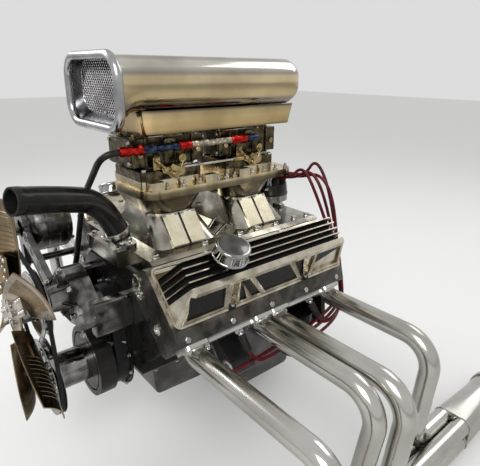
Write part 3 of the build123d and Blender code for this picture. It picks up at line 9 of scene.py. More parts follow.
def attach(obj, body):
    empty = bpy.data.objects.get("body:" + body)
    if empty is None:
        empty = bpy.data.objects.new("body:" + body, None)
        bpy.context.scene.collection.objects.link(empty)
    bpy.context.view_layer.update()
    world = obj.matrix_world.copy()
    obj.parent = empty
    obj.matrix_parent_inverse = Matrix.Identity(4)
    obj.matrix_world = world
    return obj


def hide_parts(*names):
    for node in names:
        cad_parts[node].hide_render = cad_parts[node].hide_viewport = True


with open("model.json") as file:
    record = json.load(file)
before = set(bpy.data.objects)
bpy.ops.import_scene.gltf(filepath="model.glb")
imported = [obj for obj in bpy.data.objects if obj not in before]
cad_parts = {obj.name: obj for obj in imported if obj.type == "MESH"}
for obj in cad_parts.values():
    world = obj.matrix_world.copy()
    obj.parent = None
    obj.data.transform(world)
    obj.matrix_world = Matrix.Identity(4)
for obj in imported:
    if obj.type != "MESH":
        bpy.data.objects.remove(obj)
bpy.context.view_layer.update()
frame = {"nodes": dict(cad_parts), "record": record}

# Looks of the hot rod's V8 engine, in metres, in the frame of the CAD part:
# +Y to the rear of the car, +X to its left side, +Z up, the origin on the crankshaft axis.

# Stage and light
FLOOR_Z = -0.2445
FLOOR_HALF = 14.0
FLOOR_COLOUR = (0.74, 0.74, 0.73)
FLOOR_GLOW = 0.16
SKY_SHOWN = (0.72, 0.72, 0.72)
SKY_LIGHT = 0.55

# Camera, solved from the photograph
CAMERA_PLACE = (0.8762, -0.8641, 0.6247)
CAMERA_YAW = 39.91
CAMERA_PITCH = 20.17
CAMERA_ROLL = 0.47
FOCAL_SHARE = 446.7 / 480
SENSOR_WIDTH = 36.0

ENGINE, CRANK, FAN_DRIVE, ROTOR = "engine", "crank", "fan_drive", "alternator_rotor"
# Radius in millimetres that stands for the tip of a turned solid
TIP_RADIUS = 0.02


def fill(node, **values):
    """Set inputs of the node, in whose names an underscore stands for a space."""
    for name, value in values.items():
        node.inputs[name.replace("_", " ")].default_value = value
    return node


def new_material(name, colour, metallic, roughness):
    """A Principled material; returns the material, its nodes, its links and the shader."""
    material = bpy.data.materials.new(name)
    material.use_nodes = True
    nodes, links = material.node_tree.nodes, material.node_tree.links
    shader = fill(nodes["Principled BSDF"], Base_Color=(*colour, 1), Metallic=metallic, Roughness=roughness)
    return material, nodes, links, shader


def noise(nodes, links, scale, detail):
    """A noise texture in the object's own coordinates."""
    place = nodes.new("ShaderNodeTexCoord")
    texture = fill(nodes.new("ShaderNodeTexNoise"), Scale=scale, Detail=detail)
    links.new(place.outputs["Object"], texture.inputs["Vector"])
    return texture.outputs["Fac"]


def between(nodes, links, source, low, high, start=0.35, end=0.65):
    """A number that runs from low to high as the source runs from start to end."""
    span = fill(nodes.new("ShaderNodeMapRange"), From_Min=start, From_Max=end, To_Min=low, To_Max=high)
    links.new(source, span.inputs["Value"])
    return span.outputs["Result"]


def tint(nodes, links, source, first, second, start=0.35, end=0.65):
    """A colour that runs from the first to the second as the source runs from start to end."""
    ramp = nodes.new("ShaderNodeValToRGB")
    for number, (place, colour) in enumerate(((start, first), (end, second))):
        ramp.color_ramp.elements[number].position = place
        ramp.color_ramp.elements[number].color = (*colour, 1)
    links.new(source, ramp.inputs["Fac"])
    return ramp.outputs["Color"]


def roughen(nodes, links, shader, source, strength, distance):
    """A bump on the shader."""
    bump = fill(nodes.new("ShaderNodeBump"), Strength=strength, Distance=distance)
    links.new(source, bump.inputs["Height"])
    links.new(bump.outputs["Normal"], shader.inputs["Normal"])


def height_bands(nodes, links, stops):
    """A colour that changes with the height of the place; each stop gives a height in metres and a colour."""
    place = nodes.new("ShaderNodeTexCoord")
    split = nodes.new("ShaderNodeSeparateXYZ")
    links.new(place.outputs["Object"], split.inputs["Vector"])
    low, high = stops[0][0], stops[-1][0]
    ramp = nodes.new("ShaderNodeValToRGB")
    for height, colour in stops[1:-1]:
        ramp.color_ramp.elements.new((height - low) / (high - low)).color = (*colour, 1)
    ramp.color_ramp.elements[0].color = (*stops[0][1], 1)
    ramp.color_ramp.elements[len(stops) - 1].color = (*stops[-1][1], 1)
    links.new(between(nodes, links, split.outputs["Z"], 0.0, 1.0, low, high), ramp.inputs["Fac"])
    return ramp.outputs["Color"]


# Detail of the noise of stains or dust and of the fine grain, and the grain's scale against the stains'
STAIN_DETAIL, GRAIN_DETAIL, METAL_GRAIN, COAT_GRAIN = 6.0, 3.0, 30, 18
# Depths of the grain in metres, and the coat's gloss
METAL_DEPTH, COAT_DEPTH = 0.0004, 0.0005
COAT_ROUGHNESS, COAT_SPECULAR = 0.12, 0.12


def metal(name, colour, dark, roughness, spread=0.08, scale=18.0, bump=0.08, painted_light_bands=None):
    """Metal with faint stains and fine polishing marks, and painted reflections and painted shade in bands by
    height where they are given.
    """
    material, nodes, links, shader = new_material(name, colour, 1.0, roughness)
    stains = noise(nodes, links, scale, STAIN_DETAIL)
    colours = tint(nodes, links, stains, dark, colour)
    # Painted reflections and painted shade in bands by height, multiplied over the metal's colour
    if painted_light_bands:
        shade = fill(nodes.new("ShaderNodeMix"), Factor=1.0)
        shade.data_type = "RGBA"
        shade.blend_type = "MULTIPLY"
        links.new(colours, shade.inputs[6])
        links.new(height_bands(nodes, links, painted_light_bands), shade.inputs[7])
        colours = shade.outputs[2]
    links.new(colours, shader.inputs["Base Color"])
    rough = between(nodes, links, stains, roughness + spread, max(0.02, roughness - spread))
    links.new(rough, shader.inputs["Roughness"])
    roughen(nodes, links, shader, noise(nodes, links, scale * METAL_GRAIN, GRAIN_DETAIL), bump, METAL_DEPTH)
    return material


def coat(name, colour, dark, roughness, scale=40.0, bump=0.15, gloss=0.0):
    """Paint, rubber or plastic with faint unevenness and dust."""
    material, nodes, links, shader = new_material(name, colour, 0.0, roughness)
    fill(shader, Coat_Weight=gloss, Coat_Roughness=COAT_ROUGHNESS, Specular_IOR_Level=COAT_SPECULAR)
    dust = noise(nodes, links, scale, STAIN_DETAIL)
    links.new(tint(nodes, links, dust, dark, colour), shader.inputs["Base Color"])
    rough = between(nodes, links, dust, min(1.0, roughness + 0.12), max(0.05, roughness - 0.08))
    links.new(rough, shader.inputs["Roughness"])
    roughen(nodes, links, shader, noise(nodes, links, scale * COAT_GRAIN, GRAIN_DETAIL), bump, COAT_DEPTH)
    return material


# Heights and colours of painted reflections on the polished scoop and its base: soft bands of painted
# highlight and painted shade
SCOOP_PAINTED_REFLECTIONS = (
    (0.500, (0.34, 0.26, 0.15)), (0.507, (0.84, 0.63, 0.33)), (0.526, (1.0, 0.78, 0.42)),
    (0.540, (0.80, 0.64, 0.38)), (0.546, (0.16, 0.14, 0.11)), (0.555, (0.34, 0.30, 0.25)),
    (0.563, (0.44, 0.39, 0.31)), (0.570, (0.86, 0.71, 0.43)), (0.586, (0.98, 0.81, 0.49)),
    (0.594, (0.66, 0.56, 0.38)), (0.600, (0.96, 0.81, 0.52)), (0.610, (0.92, 0.80, 0.55)),
    (0.617, (0.52, 0.49, 0.43)), (0.628, (0.90, 0.88, 0.82)), (0.638, (1.0, 0.99, 0.95)),
    (0.645, (0.60, 0.57, 0.49)), (0.660, (0.84, 0.81, 0.73)),
)

# Heights and colours of painted light on the tub under the carburettors: a painted highlight on its rim, the
# brightest part, and a band of painted shade just under it
TUB_PAINTED_LIGHT = (
    (0.300, (0.62, 0.60, 0.54)), (0.345, (0.56, 0.52, 0.43)), (0.364, (0.20, 0.18, 0.14)),
    (0.370, (0.26, 0.23, 0.17)), (0.378, (0.36, 0.32, 0.23)), (0.384, (1.0, 0.86, 0.60)),
    (0.389, (1.0, 0.88, 0.66)), (0.410, (1.0, 0.95, 0.82)),
)

# Metals: colour, the stains' colour, roughness, then its spread and the scale and bump of the marks
METALS = {
    "lid_chrome": ((0.15, 0.148, 0.14), (0.07, 0.068, 0.062), 0.14, 0.06, 30, 0.02),
    "lip_alloy": ((0.52, 0.52, 0.525), (0.30, 0.30, 0.31), 0.22, 0.08, 26, 0.1),
    # The scoop's throat lining: a dark metal that paints the shade inside the mouth
    "throat_painted_shade": ((0.20, 0.20, 0.21), (0.06, 0.06, 0.065), 0.26, 0.08, 34, 0.1),
    "runner_alloy": ((0.86, 0.80, 0.62), (0.62, 0.56, 0.40), 0.30, 0.08, 40, 0.12),
    "head_alloy": ((0.16, 0.15, 0.135), (0.045, 0.042, 0.036), 0.32, 0.1, 30, 0.3),
    "pan_steel": ((0.20, 0.195, 0.19), (0.09, 0.087, 0.083), 0.28, 0.08, 14),
    "cover_alloy": ((0.66, 0.61, 0.50), (0.36, 0.32, 0.24), 0.16, 0.06, 34, 0.06),
    "breather_chrome": ((0.50, 0.50, 0.50), (0.26, 0.26, 0.25), 0.06, 0.03, 20, 0.01),
    "header_coat": ((0.60, 0.585, 0.55), (0.44, 0.425, 0.39), 0.20, 0.05, 8, 0.05),
    "intake_alloy": ((0.50, 0.475, 0.41), (0.21, 0.195, 0.16), 0.22, 0.08, 24, 0.08),
    "tub_alloy": ((0.82, 0.79, 0.71), (0.44, 0.41, 0.34), 0.20, 0.08, 24, 0.08),
    "carburettor_metal": ((0.16, 0.13, 0.075), (0.018, 0.015, 0.010), 0.26, 0.1, 60, 0.25),
    "scoop_alloy": ((0.72, 0.70, 0.66), (0.52, 0.50, 0.46), 0.15, 0.05, 9, 0.03),
    "screen_steel": ((0.66, 0.65, 0.65), (0.42, 0.41, 0.41), 0.22, 0.05, 30),
    "crank_iron": ((0.22, 0.20, 0.19), (0.10, 0.09, 0.08), 0.38, 0.08, 20, 0.2),
    "pulley_chrome": ((0.34, 0.33, 0.32), (0.12, 0.115, 0.11), 0.12, 0.04, 26, 0.02),
    "pump_alloy": ((0.25, 0.245, 0.235), (0.025, 0.024, 0.022), 0.18, 0.08, 30, 0.1),
    "fan_chrome": ((0.36, 0.27, 0.16), (0.15, 0.11, 0.065), 0.24, 0.06, 16, 0.05),
    "alternator_alloy": ((0.24, 0.235, 0.225), (0.08, 0.077, 0.072), 0.28, 0.08, 34, 0.2),
    "bracket_alloy": ((0.17, 0.167, 0.16), (0.06, 0.058, 0.055), 0.22, 0.06, 26, 0.05),
    "clamp_steel": ((0.62, 0.61, 0.58), (0.36, 0.35, 0.33), 0.18, 0.05, 40),
    "distributor_alloy": ((0.50, 0.49, 0.47), (0.28, 0.27, 0.25), 0.20, 0.06, 30),
    "fitting_red": ((0.62, 0.030, 0.018), (0.26, 0.010, 0.010), 0.20, 0.05, 90, 0.08),
    "fitting_blue": ((0.065, 0.095, 0.165), (0.012, 0.017, 0.034), 0.20, 0.05, 90, 0.08),
    "braid_steel": ((0.56, 0.50, 0.40), (0.26, 0.23, 0.18), 0.34, 0.08, 90, 0.3),
    "linkage_plating": ((0.58, 0.47, 0.24), (0.28, 0.21, 0.09), 0.26, 0.06, 60),
    "fuel_pump_metal": ((0.42, 0.40, 0.37), (0.22, 0.21, 0.19), 0.30, 0.08, 40, 0.2),
}
# Paint, rubber and plastic: colour, the dust's colour, roughness, then the scale, the bump and the gloss
COATS = {
    "block_paint": ((0.006, 0.006, 0.0065), (0.014, 0.013, 0.012), 0.28, 26, 0.3, 0.08),
    "valley_black": ((0.004, 0.004, 0.004), (0.010, 0.009, 0.008), 0.55, 60, 0.3),
    "recess_dark": ((0.006, 0.006, 0.006), (0.016, 0.015, 0.012), 0.30, 14, 0.2, 0.1),
    "damper_paint": ((0.008, 0.008, 0.008), (0.018, 0.017, 0.015), 0.30, 30, 0.1, 0.15),
    "belt_rubber": ((0.012, 0.012, 0.012), (0.025, 0.025, 0.024), 0.62, 60, 0.3),
    "hose_rubber": ((0.008, 0.008, 0.008), (0.018, 0.017, 0.016), 0.26, 30, 0.2, 0.2),
    "cap_plastic": ((0.012, 0.012, 0.013), (0.024, 0.024, 0.024), 0.25, 30, 0.1, 0.4),
    "boot_rubber": ((0.014, 0.014, 0.014), (0.03, 0.028, 0.026), 0.50, 50),
    "wire_red": ((0.13, 0.005, 0.011), (0.055, 0.003, 0.006), 0.32, 40, 0.1, 0.15),
    "starter_paint": ((0.018, 0.018, 0.02), (0.035, 0.033, 0.03), 0.36, 30, 0.15, 0.3),
    "filter_paint": ((0.03, 0.03, 0.033), (0.055, 0.052, 0.05), 0.30, 30, 0.1, 0.3),
}
# Painted reflections and painted shade, by height, for the looks that carry them
PAINTED_LIGHT_BANDS = {"scoop_alloy": SCOOP_PAINTED_REFLECTIONS, "tub_alloy": TUB_PAINTED_LIGHT}
LOOKS = {name: metal(name, *values, painted_light_bands=PAINTED_LIGHT_BANDS.get(name)) for name, values in METALS.items()}
LOOKS.update({name: coat(name, *values) for name, values in COATS.items()})

# Every CAD node that stays in view takes the look of its own slot
for subpart in frame["record"]["subparts"]:
    node = frame["nodes"][subpart["node"]]
    node.data.materials.clear()
    node.data.materials.append(LOOKS[subpart["material_slot"]])
# The tub takes the look with a painted highlight on its rim and painted shade below it
frame["nodes"]["intake_plenum"].data.materials[0] = LOOKS["tub_alloy"]

# Directions and the two sides; a bank's parts stand back by its setback
LEFT, RIGHT, REAR, FRONT, UP, DOWN = (1, 0, 0), (-1, 0, 0), (0, 1, 0), (0, -1, 0), (0, 0, 1), (0, 0, -1)
SIDES = ((1, "left"), (-1, "right"))
SETBACK = {1: 0.0, -1: 22.4}
BANK_CENTRE_Y = -273.8
DIAGONAL = sqrt(0.5)


def bank_point(across, along, up, side):
    """A place on a bank: the distance outboard, the place along it and the distance along the cylinders."""
    y = BANK_CENTRE_Y + along + SETBACK[side]
    return Vector((side * (up + across) * DIAGONAL, y, (up - across) * DIAGONAL))


def bank_way(across, up, side):
    """A direction on a bank."""
    return Vector((side * (up + across) * DIAGONAL, 0, (up - across) * DIAGONAL)).normalized()


def spoke(degrees):
    """A direction round the car's length, from +X towards +Z."""
    return Vector((cos(radians(degrees)), 0, sin(radians(degrees))))


def square_to(way):
    """Two directions square to the given one and to each other."""
    side = way.orthogonal().normalized()
    return side, way.cross(side)


def in_plane(origin, across, up, points):
    """Points given across and up from an origin."""
    return [origin + across * u + up * v for u, v in points]


def rounded_rect(width, length, corner, steps):
    """Points of a rounded rectangle about the origin."""
    points = []
    for x_sign, y_sign, start in ((1, 1, 0), (-1, 1, 90), (-1, -1, 180), (1, -1, 270)):
        for step in range(steps + 1):
            angle = radians(start + 90 * step / steps)
            x = x_sign * (width / 2 - corner) + corner * cos(angle)
            y = y_sign * (length / 2 - corner) + corner * sin(angle)
            points.append((x, y))
    return points


def circle_points(radius, steps, turn=0.0):
    """Points of a circle about the origin."""
    angles = [turn + 2 * pi * n / steps for n in range(steps)]
    return [(radius * cos(angle), radius * sin(angle)) for angle in angles]


def coil(start, end, radius, turns, per_turn=12):
    """Points of a helix about the line from start to end."""
    start, end = Vector(start), Vector(end)
    side, other = square_to((end - start).normalized())
    count = int(abs(turns) * per_turn)
    points = []
    for n in range(count + 1):
        angle = 2 * pi * turns * n / count
        points.append(start.lerp(end, n / count) + side * radius * cos(angle) + other * radius * sin(angle))
    return points


def settle(piece, body, replaces):
    """Put the piece in the scene, on its body and the node it stands for."""
    bpy.context.scene.collection.objects.link(piece)
    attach(piece, body)
    if replaces:
        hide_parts(replaces)
    return piece


class Shape:
    """Gathers solids given in millimetres and makes them one piece."""

    def __init__(self):
        self.mesh = bmesh.new()

    def loft(self, rings, closed=False):
        """Skin over rings with the same number of points; the ends are capped unless the rings close up."""
        rows = [[self.mesh.verts.new(Vector(point)) for point in ring] for ring in rings]
        count = len(rows[0])
        pairs = list(zip(rows, rows[1:]))
        if closed:
            pairs.append((rows[-1], rows[0]))
        for first, second in pairs:
            for n in range(count):
                m = (n + 1) % count
                self.mesh.faces.new((first[n], first[m], second[m], second[n]))
        if not closed:
            self.mesh.faces.new(rows[0])
            self.mesh.faces.new(list(reversed(rows[-1])))

    def turned(self, origin, axis, profile, steps, closed=False, turn=0.0):
        """A turned solid; the profile gives the distance along the axis and the radius in turn."""
        origin, axis = Vector(origin), Vector(axis).normalized()
        side, other = square_to(axis)
        self.loft([
            in_plane(origin + axis * along, side, other, circle_points(max(radius, TIP_RADIUS), steps, turn))
            for along, radius in profile
        ], closed)

    def prism(self, outline, origin, across, up, depth):
        """A flat outline pushed out along across x up."""
        across, up = Vector(across).normalized(), Vector(up).normalized()
        out = across.cross(up).normalized()
        low = in_plane(Vector(origin), across, up, outline)
        self.loft([low, [point + out * depth for point in low]])

    def box(self, centre, size, across=LEFT, up=UP):
        """A block about its centre: across, up and then the third way."""
        across, up = Vector(across).normalized(), Vector(up).normalized()
        width, height, depth = [value / 2 for value in size]
        outline = ((-width, -height), (width, -height), (width, height), (-width, height))
        self.prism(outline, Vector(centre) - across.cross(up).normalized() * depth, across, up, size[2])

    def rod(self, points, radius, steps, closed=False):
        """A round rod along a line of points."""
        points = [Vector(point) for point in points]
        rings, side = [], None
        for n, point in enumerate(points):
            before = points[n - 1] if n or closed else point
            after = points[(n + 1) % len(points)] if n < len(points) - 1 or closed else point
            way = (after - before).normalized()
            side = square_to(way)[0] if side is None else (side - way * side.dot(way)).normalized()
            rings.append(in_plane(point, side, way.cross(side), circle_points(radius, steps)))
        self.loft(rings, closed)

    def hexagon(self, origin, axis, radius, height, turn=0.0):
        """A six-sided nut with chamfered ends."""
        low, high, edge = height * 0.12, height * 0.88, radius * 0.88
        self.turned(origin, axis, ((0, edge), (low, radius), (high, radius), (height, edge)), 6, turn=turn)

    def bolt(self, origin, axis, radius, height):
        """A hexagon head on a washer."""
        origin, axis = Vector(origin), Vector(axis).normalized()
        self.turned(origin, axis, ((0, radius * 1.25), (1.0, radius * 1.25), (1.3, radius * 1.1)), 20)
        self.hexagon(origin + axis, axis, radius, height)

    def cap_screw(self, origin, axis, radius, height):
        """A round head with a sunk top."""
        profile = (
            (0, radius), (height * 0.85, radius), (height, radius * 0.85), (height, radius * 0.5),
            (height * 0.5, radius * 0.45), (height * 0.5, 0),
        )
        self.turned(origin, axis, profile, 16)

    def done(self, name, slot, body=ENGINE, replaces=None, bevel=0.0, sharp=35.0, look=None):
        """Make the piece, with its look, the body it rides on and the node it stands for."""
        bmesh.ops.recalc_face_normals(self.mesh, faces=self.mesh.faces)
        bmesh.ops.scale(self.mesh, vec=(0.001, 0.001, 0.001), verts=self.mesh.verts)
        data = bpy.data.meshes.new(name)
        self.mesh.to_mesh(data)
        self.mesh.free()
        for face in data.polygons:
            face.use_smooth = True
        data.set_sharp_from_angle(angle=radians(sharp))
        data.materials.append(LOOKS[look or slot])
        piece = bpy.data.objects.new(name, data)
        if bevel:
            rounding = piece.modifiers.new("rounding", "BEVEL")
            rounding.width = bevel / 1000
            rounding.segments = 2
            rounding.limit_method = "ANGLE"
            rounding.angle_limit = radians(30)
            rounding.harden_normals = False
        return settle(piece, body, replaces)


def smooth_curve(name, routes, resolution, unit=1000):
    """A curve of smooth lines, each with its route's points as control points, given in parts of a metre."""
    curve = bpy.data.curves.new(name, "CURVE")
    curve.dimensions = "3D"
    curve.resolution_u = resolution
    for route in routes:
        spline = curve.splines.new("NURBS")
        spline.points.add(len(route) - 1)
        for target, point in zip(spline.points, route):
            target.co = (*(value / unit for value in point), 1)
        spline.order_u = 3
        spline.use_endpoint_u = True
    return curve


def smooth_line(name, routes, radius, slot, replaces, resolution, roundness):
    """Hoses or wires drawn smooth through their routes, in millimetres."""
    curve = smooth_curve(name, routes, resolution)
    curve.bevel_depth = radius / 1000
    curve.bevel_resolution = roundness
    curve.use_fill_caps = True
    curve.materials.append(LOOKS[slot])
    settle(bpy.data.objects.new(name, curve), ENGINE, replaces)


def smooth_points(points):
    """Points along the smooth line that has the given points as its control points."""
    curve = smooth_curve("route", (points,), 16, 1)
    holder = bpy.data.objects.new("route", curve)
    mesh = bpy.data.meshes.new_from_object(holder)
    line = [vertex.co.copy() for vertex in mesh.vertices]
    bpy.data.objects.remove(holder)
    bpy.data.curves.remove(curve)
    bpy.data.meshes.remove(mesh)
    return line


# Valve covers: black valleys between the fins, dark recesses in the outer side, and screws
COVER_BASE, COVER_TOP = 324.0, 392.0
COVER_SIDE_FOOT, COVER_SIDE_RUN, COVER_SIDE_RISE = 62.0, 31.0, 68.0
COVER_SLOPE = hypot(COVER_SIDE_RUN, COVER_SIDE_RISE)
VALLEY_WIDTH, FIN_WIDTH, VALLEYS, COVER_TOP_INNER = 11.35, 2.4, 4, 37.0
VALLEY_GAP, VALLEY_SHEET = 0.06, 0.5
# Floor and rim of a valley at its front end, along the cover from its middle and along the cylinders
VALLEY_STATIONS = (
    ((-228.5, 326.9), (-228.8, 327.6)),
    ((-220.0, 328.0), (-227.4, 328.6)),
    ((-198.0, 378.0), (-206.3, 389.6)),
)
# Recesses: lower edge start and end along the cover, upper edge start and end
RECESSES = (
    (-213, -127, -213, -137),
    (-90, -70, -101, -97),
    (-56, -33, -99, -79),
    (-20, 77, -67, 30),
    (88, 95, 45, 72),
)
RECESS_LOW, RECESS_HIGH, RECESS_DEPTH = 10.0, COVER_SLOPE - 8.0, 5.0
# Corners of the last recess, a wedge, along the cover and up its side
WEDGE_RECESS = ((124, 36), (190, 58), (194.5, 66), (116, 66))
COVER_SCREWS = (-105.0, 104.0)
BREATHER_LEAN = radians(22)
# Heights and radii of the breather's drum and lid
BREATHER_DRUM = (
    (0, 20), (0.2, 34.4), (1.0, 35.8), (3.2, 36.2), (4.6, 35.4), (5.4, 34.0), (20, 33.6), (22.5, 33.9),
    (24.5, 34.3), (26.5, 34.0), (28.2, 32.6), (29.2, 30.6), (29.4, 29.0), (28.6, 28.4), (28.2, 10), (28.2, 0),
)
BREATHER_LID = ((0, 28.4), (0.7, 28.2), (1.2, 22), (1.5, 12), (1.6, 0))


def cover_point(along, height, out, side):
    """A place on the sloping outer side of a valve cover."""
    across = COVER_SIDE_FOOT - height * COVER_SIDE_RUN / COVER_SLOPE + out * COVER_SIDE_RISE / COVER_SLOPE
    up = COVER_BASE + height * COVER_SIDE_RISE / COVER_SLOPE + out * COVER_SIDE_RUN / COVER_SLOPE
    return bank_point(across, along, up, side)


valley_back = [((-floor[0], floor[1]), (-rim[0], rim[1])) for floor, rim in reversed(VALLEY_STATIONS)]
for side, bank in SIDES:
    valleys = Shape()
    half = VALLEY_WIDTH / 2 - VALLEY_GAP
    for valley in range(VALLEYS):
        middle = (valley + 1) * (FIN_WIDTH + VALLEY_WIDTH) - VALLEY_WIDTH / 2 - COVER_TOP_INNER
        rings = []
        for floor, rim in [*VALLEY_STATIONS, *valley_back]:
            floor, rim = Vector(floor), Vector(rim)
            lift = (rim - floor).normalized()
            low, high = floor + lift * 0.15, floor + (rim - floor) * 0.86
            deck = low + lift * min(VALLEY_SHEET, (high - low).length * 0.6)
            wall = half - VALLEY_SHEET
            ring = (
                (-half, high), (-wall, high), (-wall, deck), (wall, deck), (wall, high), (half, high),
                (half, low), (-half, low),
            )
            rings.append([bank_point(middle + u, v[0], v[1], side) for u, v in ring])
        valleys.loft(rings)
    valleys.done(f"cover_valleys_{bank}", "block_paint", look="valley_black")

    recesses = Shape()
    panels = [(
        ((low_start + 0.7, RECESS_LOW + 0.6), (low_end - 0.7, RECESS_LOW + 0.6),
         (high_end - 0.7, RECESS_HIGH - 0.6), (high_start + 0.7, RECESS_HIGH - 0.6)), 0.9,
    ) for low_start, low_end, high_start, high_end in RECESSES]
    for corners, face in panels + [(WEDGE_RECESS, 2.6)]:
        recesses.loft([
            [cover_point(along, height, out - RECESS_DEPTH, side) for along, height in corners]
            for out in (0.1, face)
        ])
    recesses.done(f"cover_recesses_{bank}", "block_paint", look="recess_dark")

    cups, screws = Shape(), Shape()
    up = bank_way(0, 1, side)
    for along in COVER_SCREWS:
        foot = bank_point(60.5, along, COVER_BASE, side)
        cups.turned(foot - up, up, ((0, 7.2), (7.0, 7.2), (7.4, 6.8), (7.4, 5.2), (3.0, 5.2), (3.0, 0)), 24)
        screws.cap_screw(foot + up * 1.5, up, 4.0, 5.6)
        screws.bolt(bank_point(-58.5, along, COVER_BASE, side), up, 5.0, 4.0)
    cups.done(f"cover_screw_cups_{bank}", "block_paint")
    screws.done(f"cover_screws_{bank}", "clamp_steel")

    # Breather: a chrome drum with a rolled foot and a dark domed lid, on a bent neck that leans it upright
    neck = bank_point(-7, -110, COVER_TOP - 11, side)
    foot = bank_point(-14, -112, COVER_TOP + 13, side)
    lean = Vector((side * sin(BREATHER_LEAN), 0, cos(BREATHER_LEAN)))
    cap, lid = Shape(), Shape()
    cap.turned(foot, lean, BREATHER_DRUM, 64)
    cap.rod([neck, neck + up * 12, foot - lean * 3, foot + lean * 4], 17.0, 32)
    lid.turned(foot + lean * 28.6, lean, BREATHER_LID, 64)
    cap.done(f"breather_cap_{bank}", "breather_chrome", replaces=f"breather_{bank}", sharp=50)
    lid.done(f"breather_lid_{bank}", "breather_chrome", look="lid_chrome")

# Scoop: woven screen in its throat
SCREEN_Y, SCREEN_Z, SCREEN_WIDTH, SCREEN_HEIGHT, SCREEN_CORNER = -480.8, 589.9, 220.4, 107.8, 38.6
SCREEN_STEP, SCREEN_RIM, WIRE_THICK, WIRE_SHIFT = 9.4, 1.6, 1.05, 0.45
weave = Shape()
rim_line = rounded_rect(
    SCREEN_WIDTH - 2 * SCREEN_RIM, SCREEN_HEIGHT - 2 * SCREEN_RIM, SCREEN_CORNER - SCREEN_RIM, 8,
)
weave.rod([(x, SCREEN_Y, SCREEN_Z + z) for x, z in rim_line], SCREEN_RIM, 8, closed=True)


def inside_screen(x, z):
    """Whether a place lies within the screen's rounded outline."""
    reach_x = abs(x) - (SCREEN_WIDTH / 2 - SCREEN_CORNER)
    reach_z = abs(z) - (SCREEN_HEIGHT / 2 - SCREEN_CORNER)
    if reach_x > 0 and reach_z > 0:
        return hypot(reach_x, reach_z) < SCREEN_CORNER - 1.0
    return reach_x < SCREEN_CORNER - 1.0 and reach_z < SCREEN_CORNER - 1.0


for lean in (-1, 1):
    for number in range(-30, 31):
        offset = number * SCREEN_STEP
        inside = [t / 2 for t in range(-220, 221) if inside_screen(offset + lean * t / 2, t / 2)]
        if len(inside) > 6:
            y = SCREEN_Y + lean * WIRE_SHIFT
            weave.rod([(offset + lean * t, y, SCREEN_Z + t) for t in (inside[0], inside[-1])], WIRE_THICK, 6)
weave.done("throat_screen", "screen_steel", replaces="scoop_screen")

# Scoop: a shell that flares to its rolled lip and rounds off at the back, with painted shade inside, open to
# its base
SCOOP_MOUTH, SCOOP_BODY, SCOOP_CORNER = (234.0, 130.0, 582.0), (222.0, 101.0, 597.5), 42.0
SCOOP_MOUTH_Y, SCOOP_FLARE, SCOOP_BACK, SCOOP_ROUNDING, SCOOP_WALL = -506.0, 62.0, -20.0, 46.0, 3.0
SCOOP_ROUNDS_OFF = SCOOP_BACK - SCOOP_ROUNDING
LIP_RADIUS = 8.98


def scoop_ring(y, shrink):
    """The scoop's section at a place along it; shrink brings it in from all sides."""
    flare = max(0.0, 1 - (y - SCOOP_MOUTH_Y) / SCOOP_FLARE) ** 2.2
    width, height, middle = [b + (m - b) * flare for m, b in zip(SCOOP_MOUTH, SCOOP_BODY)]
    past = max(0.0, y - SCOOP_ROUNDS_OFF) / SCOOP_ROUNDING
    shrink += SCOOP_ROUNDING * (1 - sqrt(max(0.0, 1 - past * past)))
    ring = rounded_rect(width - 2 * shrink, height - 2 * shrink, max(2.0, SCOOP_CORNER - shrink), 10)
    return [(x, y, middle + z) for x, z in ring]


outer_stations = [SCOOP_MOUTH_Y + SCOOP_FLARE * n / 16 for n in range(17)] + [-400.0, -300.0, -200.0, -120.0]
outer_stations += [SCOOP_ROUNDS_OFF + SCOOP_ROUNDING * sin(radians(a)) for a in range(0, 91, 9)]
inner_end = SCOOP_ROUNDS_OFF - 0.5
inner_stations = [y for y in outer_stations if y < inner_end] + [inner_end]
shell = Shape()
lining = [scoop_ring(y, SCOOP_WALL) for y in reversed(inner_stations)]
shell.loft(lining + [scoop_ring(y, 0.0) for y in outer_stations])
scoop_shell = shell.done("scoop_shell", "scoop_alloy", replaces="scoop", sharp=60)
cutter = Shape()
cutter.loft([[(x, y - 235.0, z) for x, y in rounded_rect(144.0, 402.0, 18.0, 8)] for z in (540.0, 556.0)])
cutter = cutter.done("scoop_floor_cut", "scoop_alloy")
cut = scoop_shell.modifiers.new("floor", "BOOLEAN")
cut.object = cutter
cut.solver = "EXACT"
bpy.context.view_layer.update()
cut_mesh = bpy.data.meshes.new_from_object(scoop_shell.evaluated_get(bpy.context.evaluated_depsgraph_get()))
scoop_shell.modifiers.clear()
scoop_shell.data = cut_mesh
bpy.data.objects.remove(cutter)
# Painted shade inside the scoop: black deeper in, and a dark metal lining nearer the mouth
cut_mesh.materials.append(LOOKS["block_paint"])
cut_mesh.materials.append(LOOKS["throat_painted_shade"])
THROAT_END = -478
for face in cut_mesh.polygons:
    y = face.center.y * 1000
    heights = [z for _, _, z in scoop_ring(y, 1.6)]
    middle = Vector((0, face.center.y, (min(heights) + max(heights)) / 2000))
    if y < SCOOP_ROUNDS_OFF and (face.center - middle).dot(face.normal) < 0:
        face.material_index = 1 if y > THROAT_END else 2

lip = Shape()
lip.rod(scoop_ring(SCOOP_MOUTH_Y, 0.0), LIP_RADIUS, 24, closed=True)
lip.done("scoop_lip", "scoop_alloy", look="lip_alloy")

